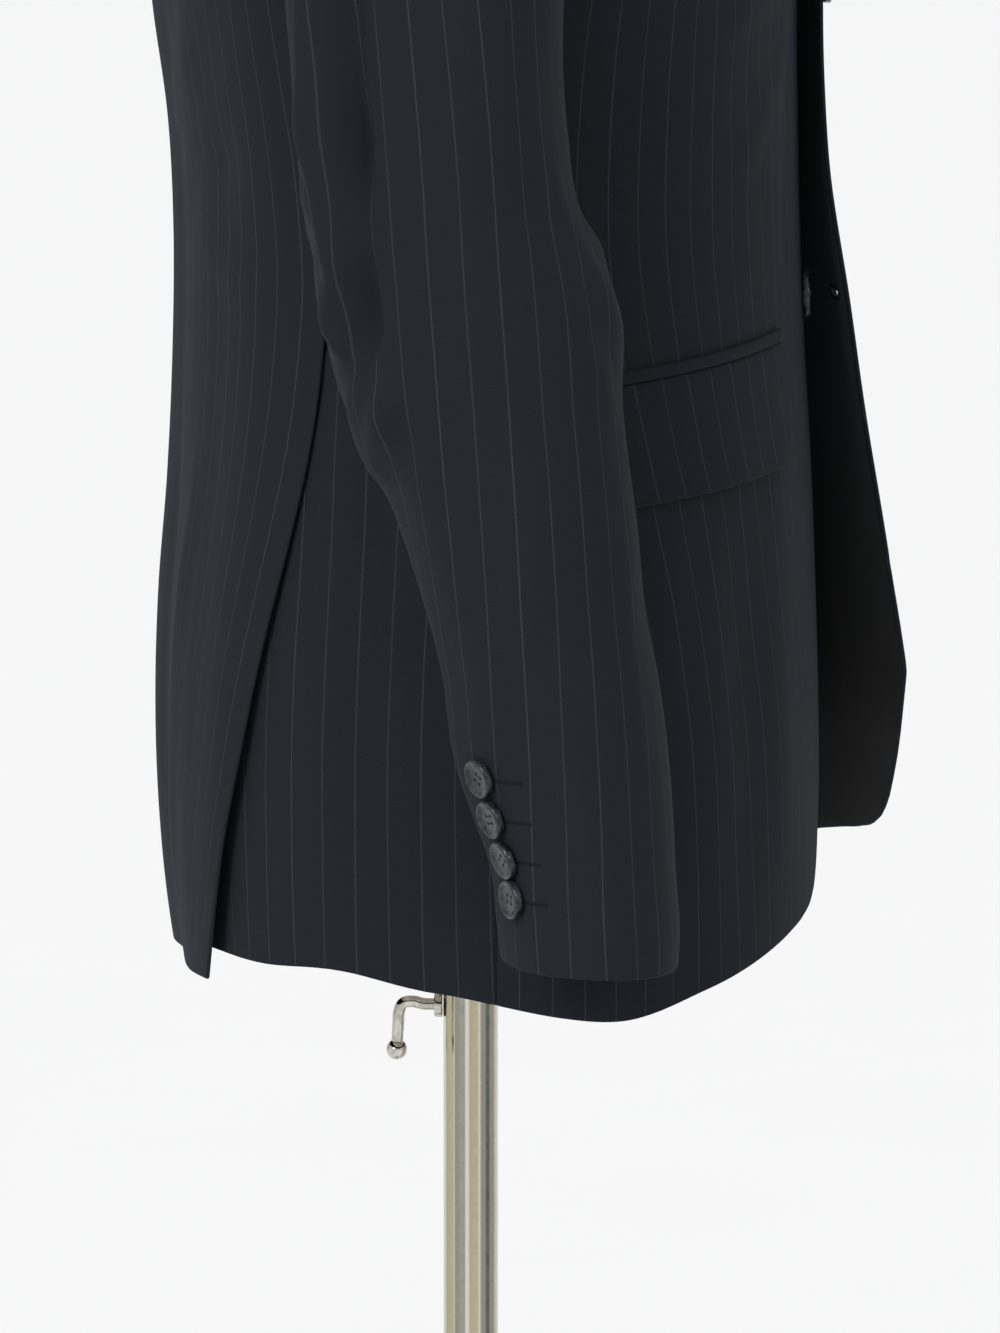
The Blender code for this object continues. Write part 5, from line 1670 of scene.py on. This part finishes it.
def new_material(name, **sockets):
    """A material with its shader's own sockets set. Gives it with its nodes and its shader."""
    material = bpy.data.materials.new(name)
    material.use_nodes = True
    shader = material.node_tree.nodes["Principled BSDF"]
    for socket, value in sockets.items():
        shader.inputs[socket_name(socket)].default_value = value
    return Nodes(material.node_tree), shader


def plug(nodes, shader, **links):
    for socket, value in links.items():
        nodes.tree.links.new(value.socket, shader.inputs[socket_name(socket)])


def cloth_places(nodes):
    axes = nodes.add("ShaderNodeSeparateXYZ", values={0: nodes.add("ShaderNodeUVMap", {"uv_map": "cloth"})})
    return axes.out("X"), axes.out("Y"), nodes.add("ShaderNodeTexCoord").out("Object")


def worsted_material(look):
    """Dark worsted with a fine pinstripe, whose stripes are blue and grey by turns."""
    nodes, shader = new_material("worsted", sheen_weight=0.03, sheen_roughness=0.45, specular_ior_level=0.06)
    shader.inputs["Sheen Tint"].default_value = (0.62, 0.72, 0.86, 1)
    across, along, place = cloth_places(nodes)
    turns = across / look.stripe_pitch
    away = turns.math("PINGPONG", 0.5) * look.stripe_pitch
    other = turns.math("PINGPONG", 1.0) > 0.5
    yarn_place = nodes.add("ShaderNodeCombineXYZ", values={0: across * 2400.0, 1: along * 420.0})
    yarn = nodes.noise(yarn_place, 1.0, 2.0)
    fibre_place = nodes.add("ShaderNodeCombineXYZ", values={0: across * 1300.0, 1: along * 1500.0})
    fibre = nodes.noise(fibre_place, 1.0, 3.0, 0.6)
    half = look.stripe_width / 2
    stripe = nodes.smooth_step(away, half * 0.6, half * 1.7, 1.0, 0.0)
    wander = nodes.noise(place, 7.0, 2.0)
    stripe = stripe * (0.35 + yarn * 0.9) * (0.7 + wander * 0.6) * look.stripe_strength
    melange = 0.8 + fibre * 0.4
    patches = 0.92 + nodes.noise(place, 5.0, 3.0) * 0.16
    base = nodes.shade(melange * patches, tuple(look.cloth_colour))
    colour = nodes.mix(other, tuple(look.stripe_blue), tuple(look.stripe_grey))
    strength = nodes.add("ShaderNodeMath", {"operation": "MULTIPLY"}, {0: stripe, 1: 1.0 - other * 0.25})
    plug(nodes, shader, base_color=nodes.mix(strength, base, colour), roughness=0.74 + fibre * 0.2)
    twill = ((across + along) * (2 * math.pi / 0.0009)).math("SINE")
    puckers = nodes.noise(place, 34.0, 3.0, 0.55) * 0.3 + nodes.noise(place, 11.0, 2.0) * 0.55
    plug(nodes, shader, normal=nodes.bump(twill * 0.018 + yarn * 0.05 + fibre * 0.03 + puckers))


def facing_material(look):
    """The plain dark back of the cloth, as it shows inside the open front and the cuffs. Its colour carries painted
    shade low down and painted light high up.
    """
    nodes, shader = new_material("facing", sheen_weight=0.02, sheen_roughness=0.5, specular_ior_level=0.1)
    across, along, place = cloth_places(nodes)
    weave_place = nodes.add("ShaderNodeCombineXYZ", values={0: across * 1500.0, 1: along * 700.0})
    weave = nodes.noise(weave_place, 1.0, 2.0)
    patches = nodes.noise(place, 8.0, 2.0)
    # Painted light and shade: the colour is scaled from 0.2 at 0.84 m high to 8 at 1.24 m, so the inside is darker low
    # down and lighter higher up.
    rise = nodes.smooth_step(nodes.add("ShaderNodeSeparateXYZ", values={0: place}).out("Z"), 0.84, 1.24, 0.2, 8.0)
    shade = (0.78 + weave * 0.44) * (0.9 + patches * 0.2) * rise
    plug(nodes, shader, base_color=nodes.shade(shade, tuple(look.facing_colour)), roughness=0.55 + weave * 0.2)
    plug(nodes, shader, normal=nodes.bump(weave * 0.05 + nodes.noise(place, 20.0, 2.0) * 0.3))


def silk_thread_material(look):
    nodes, shader = new_material("silk_thread", sheen_weight=0.02, specular_ior_level=0.08)
    place = nodes.add("ShaderNodeTexCoord").out("Object")
    strand = nodes.noise(place, 2600.0, 2.0)
    plug(nodes, shader, base_color=nodes.shade(0.7 + strand * 0.6, tuple(look.thread_colour)))
    plug(nodes, shader, roughness=0.45 + strand * 0.2, normal=nodes.bump(strand * 0.06))


def horn_material(look):
    """Polished dark grey horn with lighter clouded streaks."""
    nodes, shader = new_material("polished_horn", coat_roughness=0.06, specular_ior_level=0.3)
    place = nodes.add("ShaderNodeTexCoord").out("Object")
    cloud = nodes.noise(place, 170.0, 4.0, 0.62, 1.6)
    dark, light = tuple(look.horn_dark), tuple(look.horn_light)
    middle = tuple(blend(a, b, 0.3) for a, b in zip(dark, light))
    stops = [(0.36, dark), (0.48, middle), (0.56, light), (0.62, middle), (0.74, dark)]
    colour = nodes.add("ShaderNodeValToRGB", {"stops": stops}, {0: cloud})
    scratches = nodes.noise(place, 900.0, 3.0, 0.6)
    plug(nodes, shader, base_color=colour, roughness=0.16 + scratches * 0.14, coat_weight=0.03 + cloud * 0.18)
    plug(nodes, shader, normal=nodes.bump(scratches * 0.012 + cloud * 0.03))


def canvas_material(look):
    """Natural canvas in a plain weave with slubs."""
    nodes, shader = new_material("plain_canvas", sheen_weight=0.15, specular_ior_level=0.2)
    across, along, place = cloth_places(nodes)
    warp = (across * (2 * math.pi / 0.0011)).math("SINE")
    weft = (along * (2 * math.pi / 0.0011)).math("SINE")
    slub_place = nodes.add("ShaderNodeCombineXYZ", values={0: across * 60.0, 1: along * 900.0})
    slubs = nodes.noise(slub_place, 1.0, 2.0)
    soil = nodes.noise(place, 6.0, 3.0)
    shade = (0.94 + warp * weft * 0.05) * (0.88 + slubs * 0.2) * (0.93 + soil * 0.12)
    plug(nodes, shader, base_color=nodes.shade(shade, tuple(look.canvas_colour)), roughness=0.82 + slubs * 0.12)
    plug(nodes, shader, normal=nodes.bump(warp * weft * 0.05 + slubs * 0.08))


def chrome_material(look):
    """Polished chrome, duller and a little greyer where worn, with painted reflections in its colour: bright, warm,
    grey and dark bands round the fluted pole, the plain colour mixed into the pole's grooves, and painted dark
    blotches on the other parts.
    """
    nodes, shader = new_material("bright_chrome", metallic=1.0)
    place = nodes.add("ShaderNodeTexCoord").out("Object")
    axes = nodes.add("ShaderNodeSeparateXYZ", values={0: place})
    x, y, z = axes.out("X"), axes.out("Y"), axes.out("Z")
    turn = y.math("ARCTAN2", x)
    reach = (x * x + y * y).math("SQRT")
    # Painted mark by recess: in the grooves of the flutes, 15% of the plain colour takes the place of the painted
    # reflection bands.
    groove = nodes.smooth_step(reach, POLE_RADIUS - FLUTE_DEPTH, POLE_RADIUS - 0.0001, 1.0, 0.0)
    on_pole = (reach > 0.0098) * (1.0 - (reach > POLE_RADIUS + 0.00015))
    wear = nodes.noise(place, 45.0, 4.0, 0.6)
    dull = nodes.smooth_step(wear, 0.45, 0.7)
    bright, shadow = tuple(look.chrome_colour), tuple(look.chrome_shadow)
    warm = (0.44, 0.39, 0.25)
    grey = (0.26, 0.26, 0.21)
    # Painted reflections: bands of bright, warm, grey and dark colour set by the angle round the pole.
    streaks = [
        (0.0, bright),
        (0.13, bright),
        (0.165, warm),
        (0.295, warm),
        (0.31, bright),
        (0.33, grey),
        (0.44, grey),
        (0.46, bright),
        (0.49, bright),
        (0.51, warm),
        (0.605, warm),
        (0.625, bright),
        (0.65, grey),
        (0.7, grey),
        (0.725, shadow),
        (0.765, shadow),
        (0.79, grey),
        (0.84, grey),
        (0.86, warm),
        (0.925, warm),
        (0.95, bright),
    ]
    around = (turn / math.pi + 1.5).math("FRACT")
    painted_reflection_bands = nodes.add("ShaderNodeValToRGB", {"stops": streaks}, {0: around})
    # Painted reflections: dark grey blotches on the chrome between 0.04 m and 0.76 m high.
    painted_reflection_blotch = nodes.smooth_step(nodes.noise(place, 210.0, 2.0, 0.5, 1.2), 0.44, 0.58)
    plain = nodes.mix(dull * 0.15 + painted_reflection_blotch * 0.45 * (1.0 - (z > 0.76)) * (z > 0.04), bright, grey)
    colour = nodes.mix(on_pole * (1.0 - groove * 0.15), plain, painted_reflection_bands)
    streaks = nodes.noise(nodes.add("ShaderNodeCombineXYZ", values={0: turn * 300.0, 1: z * 12.0}), 1.0, 3.0)
    plug(nodes, shader, base_color=colour, roughness=0.07 + dull * 0.1 + streaks * 0.06)
    plug(nodes, shader, normal=nodes.bump(streaks * 0.006 + wear * 0.01))


def floor_material(look):
    nodes, shader = new_material("pale_floor", specular_ior_level=0.1)
    place = nodes.add("ShaderNodeTexCoord").out("Object")
    grain = nodes.noise(place, 3.0, 3.0)
    plug(nodes, shader, base_color=nodes.shade(0.993 + grain * 0.014, tuple(look.floor_colour)))
    plug(nodes, shader, roughness=0.7 + grain * 0.1)


def make_materials():
    scene = bpy.context.scene
    worsted_material(scene.jacket_cloth)
    facing_material(scene.jacket_cloth)
    silk_thread_material(scene.jacket_cloth)
    horn_material(scene.jacket_trim)
    canvas_material(scene.jacket_trim)
    chrome_material(scene.jacket_trim)
    floor_material(scene.jacket_stage)


# ---------------------------------------------------------------- stage


def make_stage(look):
    """A pale floor, soft light that is brighter from behind the jacket, and the camera."""
    scene = bpy.context.scene
    deselect()
    bpy.ops.mesh.primitive_plane_add(size=120, location=(0, 0, 0))
    floor = added("floor")
    floor.data.materials.append(bpy.data.materials["pale_floor"])
    world = bpy.data.worlds.new("soft_sky")
    world.use_nodes = True
    scene.world = world
    nodes = Nodes(world.node_tree)
    way = Vector((-0.9, 0.2, 0.4)).normalized()
    direction = nodes.add("ShaderNodeTexCoord").out("Generated")
    settings = {"operation": "DOT_PRODUCT"}
    towards = nodes.add("ShaderNodeVectorMath", settings, {0: direction, 1: tuple(way)}).out("Value")
    strength = nodes.smooth_step(towards, -0.7, 0.95, look.dim_side, look.bright_side)
    background = world.node_tree.nodes["Background"]
    background.inputs["Color"].default_value = (*look.sky_colour, 1)
    nodes.tree.links.new(strength.socket, background.inputs["Strength"])
    for name, kind, place, power in (
        ("key", "SUN", (-2.5, 1.25, 2.3), look.key_power),
        ("glint", "AREA", (-2.2, -1.6, 1.9), look.glint_power),
    ):
        deselect()
        aim = Vector((-0.2, 0.0, 0.9)) - Vector(place)
        bpy.ops.object.light_add(type=kind, location=place, rotation=aim.to_track_quat("-Z", "Y").to_euler())
        lamp = bpy.context.object
        lamp.name = name
        lamp.data.energy = power
        if kind == "SUN":
            lamp.data.angle = look.key_softness
        else:
            lamp.data.size = 0.6
    azimuth, elevation = math.radians(look.azimuth), math.radians(look.elevation)
    way = Vector(
        (
            math.sin(azimuth) * math.cos(elevation),
            -math.cos(azimuth) * math.cos(elevation),
            math.sin(elevation),
        )
    )
    target = Vector((0, -0.0118, 0.87))
    deselect()
    turn = (-way).to_track_quat("-Z", "Y").to_euler()
    bpy.ops.object.camera_add(location=target + way * look.distance, rotation=turn)
    camera = bpy.context.object
    camera.name = "camera"
    camera.data.lens = look.lens
    camera.data.sensor_width = 36
    camera.data.sensor_fit = "AUTO"
    camera.data.clip_end = 200
    scene.camera = camera
    scene.view_settings.view_transform = "Standard"


# ---------------------------------------------------------------- settings, operators and panel


def colour_property(name, description, default):
    return bpy.props.FloatVectorProperty(
        name=name, description=description, subtype="COLOR", size=3, min=0.0, max=1.0, default=default
    )


def number_property(name, description, default, **limits):
    return bpy.props.FloatProperty(name=name, description=description, default=default, **limits)


class ClothLook(bpy.types.PropertyGroup):
    creases: number_property("Creases", "Depth of the creases as a share of the photo's", 1.0, min=0.0, max=1.5)
    stripe_pitch: number_property(
        "Stripe pitch", "Distance from one stripe to the next", 0.0127, min=0.004, max=0.05, unit="LENGTH", precision=4
    )
    stripe_width: number_property(
        "Stripe width", "Width of a pinstripe", 0.0005, min=0.0002, max=0.004, unit="LENGTH", precision=4
    )
    stripe_strength: number_property("Stripe strength", "How clearly the stripes show", 0.38, min=0.0, max=1.0)
    cloth_colour: colour_property("Cloth", "Colour of the ground cloth", (0.0104, 0.0127, 0.0164))
    stripe_blue: colour_property("Blue stripe", "Colour of every other stripe", (0.05, 0.06, 0.082))
    stripe_grey: colour_property("Grey stripe", "Colour of the stripes between", (0.06, 0.062, 0.06))
    facing_colour: colour_property("Inside", "Colour of the inside of the jacket", (0.009, 0.011, 0.014))
    thread_colour: colour_property("Thread", "Colour of the sewing thread", (0.0045, 0.0055, 0.0075))


class TrimLook(bpy.types.PropertyGroup):
    horn_dark: colour_property("Dark horn", "Darkest colour of the buttons", (0.004, 0.005, 0.007))
    horn_light: colour_property("Light horn", "Lightest colour of the buttons", (0.024, 0.028, 0.035))
    canvas_colour: colour_property("Canvas", "Colour of the dress form", SLOTS["canvas"])
    chrome_colour: colour_property("Chrome", "Colour of the polished metal", SLOTS["chrome"])
    # The darkest band of the painted reflections round the pole.
    chrome_shadow: colour_property("Painted dark reflection", "Colour of the darkest painted reflection band on the pole", (0.045, 0.043, 0.04))


class StageLook(bpy.types.PropertyGroup):
    floor_colour: colour_property("Floor", "Colour of the floor", (0.895, 0.895, 0.9))
    sky_colour: colour_property("Light", "Colour of the soft light", (1.0, 1.0, 1.0))
    bright_side: number_property(
        "Bright side", "Strength of the light from behind the jacket", 0.84, min=0.0, max=5.0
    )
    dim_side: number_property("Dim side", "Strength of the light from the other side", 0.52, min=0.0, max=5.0)
    key_power: number_property("Key", "Strength of the main light, from behind and above", 2.3, min=0.0, max=20.0)
    key_softness: number_property("Softness", "How wide the main light is in the sky", 0.45, max=3.0, unit="ROTATION")
    glint_power: number_property("Glint", "Power of the small lamp", 8.0, min=0.0, max=100.0, unit="POWER")
    azimuth: number_property("Azimuth", "Camera's direction round the stand, in degrees", -86.5)
    elevation: number_property("Elevation", "Camera's direction above level, in degrees", 6.6)
    distance: number_property("Distance", "Camera's distance from the jacket", 3.18, min=0.5, unit="LENGTH")
    lens: number_property("Lens", "Focal length in millimetres", 214.7, min=10.0)


class JACKET_OT_finishes(bpy.types.Operator):
    """Make the materials of the cloth, buttons, form, stand and floor"""

    bl_idname = "jacket.finishes"
    bl_label = "Finishes"

    def execute(self, context):
        make_materials()
        return {"FINISHED"}


class JACKET_OT_body(bpy.types.Operator):
    """Make the fronts, side panels and backs, with the open lower buttonhole"""

    bl_idname = "jacket.body"
    bl_label = "Body panels"

    def execute(self, context):
        make_body()
        return {"FINISHED"}


class JACKET_OT_lapels(bpy.types.Operator):
    """Make the lapels, each rolled over the edge of its front"""

    bl_idname = "jacket.lapels"
    bl_label = "Lapels"

    def execute(self, context):
        make_lapels()
        return {"FINISHED"}


class JACKET_OT_collar(bpy.types.Operator):
    """Make the collar with its stand and fall"""

    bl_idname = "jacket.collar"
    bl_label = "Collar"

    def execute(self, context):
        make_collar()
        return {"FINISHED"}


class JACKET_OT_sleeves(bpy.types.Operator):
    """Make the top and under sleeves with the creases at the elbow"""

    bl_idname = "jacket.sleeves"
    bl_label = "Sleeves"

    def execute(self, context):
        make_sleeves()
        return {"FINISHED"}


class JACKET_OT_pockets(bpy.types.Operator):
    """Make the jets and flaps of the hip pockets"""

    bl_idname = "jacket.pockets"
    bl_label = "Pockets"

    def execute(self, context):
        make_pockets()
        return {"FINISHED"}


class JACKET_OT_buttons(bpy.types.Operator):
    """Make the front and sleeve buttons and sew the buttonholes"""

    bl_idname = "jacket.buttons"
    bl_label = "Buttons and buttonholes"

    def execute(self, context):
        make_front_buttons()
        make_cuff_buttons()
        make_front_buttonholes()
        make_cuff_buttonholes()
        return {"FINISHED"}


class JACKET_OT_form(bpy.types.Operator):
    """Make the canvas dress form"""

    bl_idname = "jacket.form"
    bl_label = "Dress form"

    def execute(self, context):
        make_form()
        return {"FINISHED"}


class JACKET_OT_stand(bpy.types.Operator):
    """Make the base, tubes, stop, nut and clamp handle"""

    bl_idname = "jacket.stand"
    bl_label = "Stand"

    def execute(self, context):
        make_stand()
        make_handle()
        return {"FINISHED"}


class JACKET_OT_stage(bpy.types.Operator):
    """Make the floor, the lights and the camera"""

    bl_idname = "jacket.stage"
    bl_label = "Stage"

    def execute(self, context):
        make_stage(context.scene.jacket_stage)
        return {"FINISHED"}


OPERATORS = (
    JACKET_OT_finishes,
    JACKET_OT_body,
    JACKET_OT_lapels,
    JACKET_OT_collar,
    JACKET_OT_sleeves,
    JACKET_OT_pockets,
    JACKET_OT_buttons,
    JACKET_OT_form,
    JACKET_OT_stand,
    JACKET_OT_stage,
)


class VIEW3D_PT_jacket(bpy.types.Panel):
    bl_label = "Suit jacket"
    bl_idname = "VIEW3D_PT_jacket"
    bl_space_type = "VIEW_3D"
    bl_region_type = "UI"
    bl_category = "Jacket"

    def draw(self, context):
        for name in ("jacket_cloth", "jacket_trim", "jacket_stage"):
            group = getattr(context.scene, name)
            box = self.layout.box()
            for setting in group.bl_rna.properties:
                if setting.identifier not in ("rna_type", "name"):
                    box.prop(group, setting.identifier)
        for operator in OPERATORS:
            self.layout.operator(operator.bl_idname)


GROUPS = {"jacket_cloth": ClothLook, "jacket_trim": TrimLook, "jacket_stage": StageLook}


def register():
    for group in (*GROUPS.values(), *OPERATORS, VIEW3D_PT_jacket):
        bpy.utils.register_class(group)
    for name, group in GROUPS.items():
        setattr(bpy.types.Scene, name, bpy.props.PointerProperty(type=group))


def unregister():
    for name in GROUPS:
        delattr(bpy.types.Scene, name)
    for group in (VIEW3D_PT_jacket, *reversed(OPERATORS), *GROUPS.values()):
        bpy.utils.unregister_class(group)


def plain(box):
    return [[float(number) for number in corner] for corner in box]


def main():
    register()
    for operator in OPERATORS:
        group, name = operator.bl_idname.split(".")
        getattr(getattr(bpy.ops, group), name)()


if __name__ == "__main__":
    main()
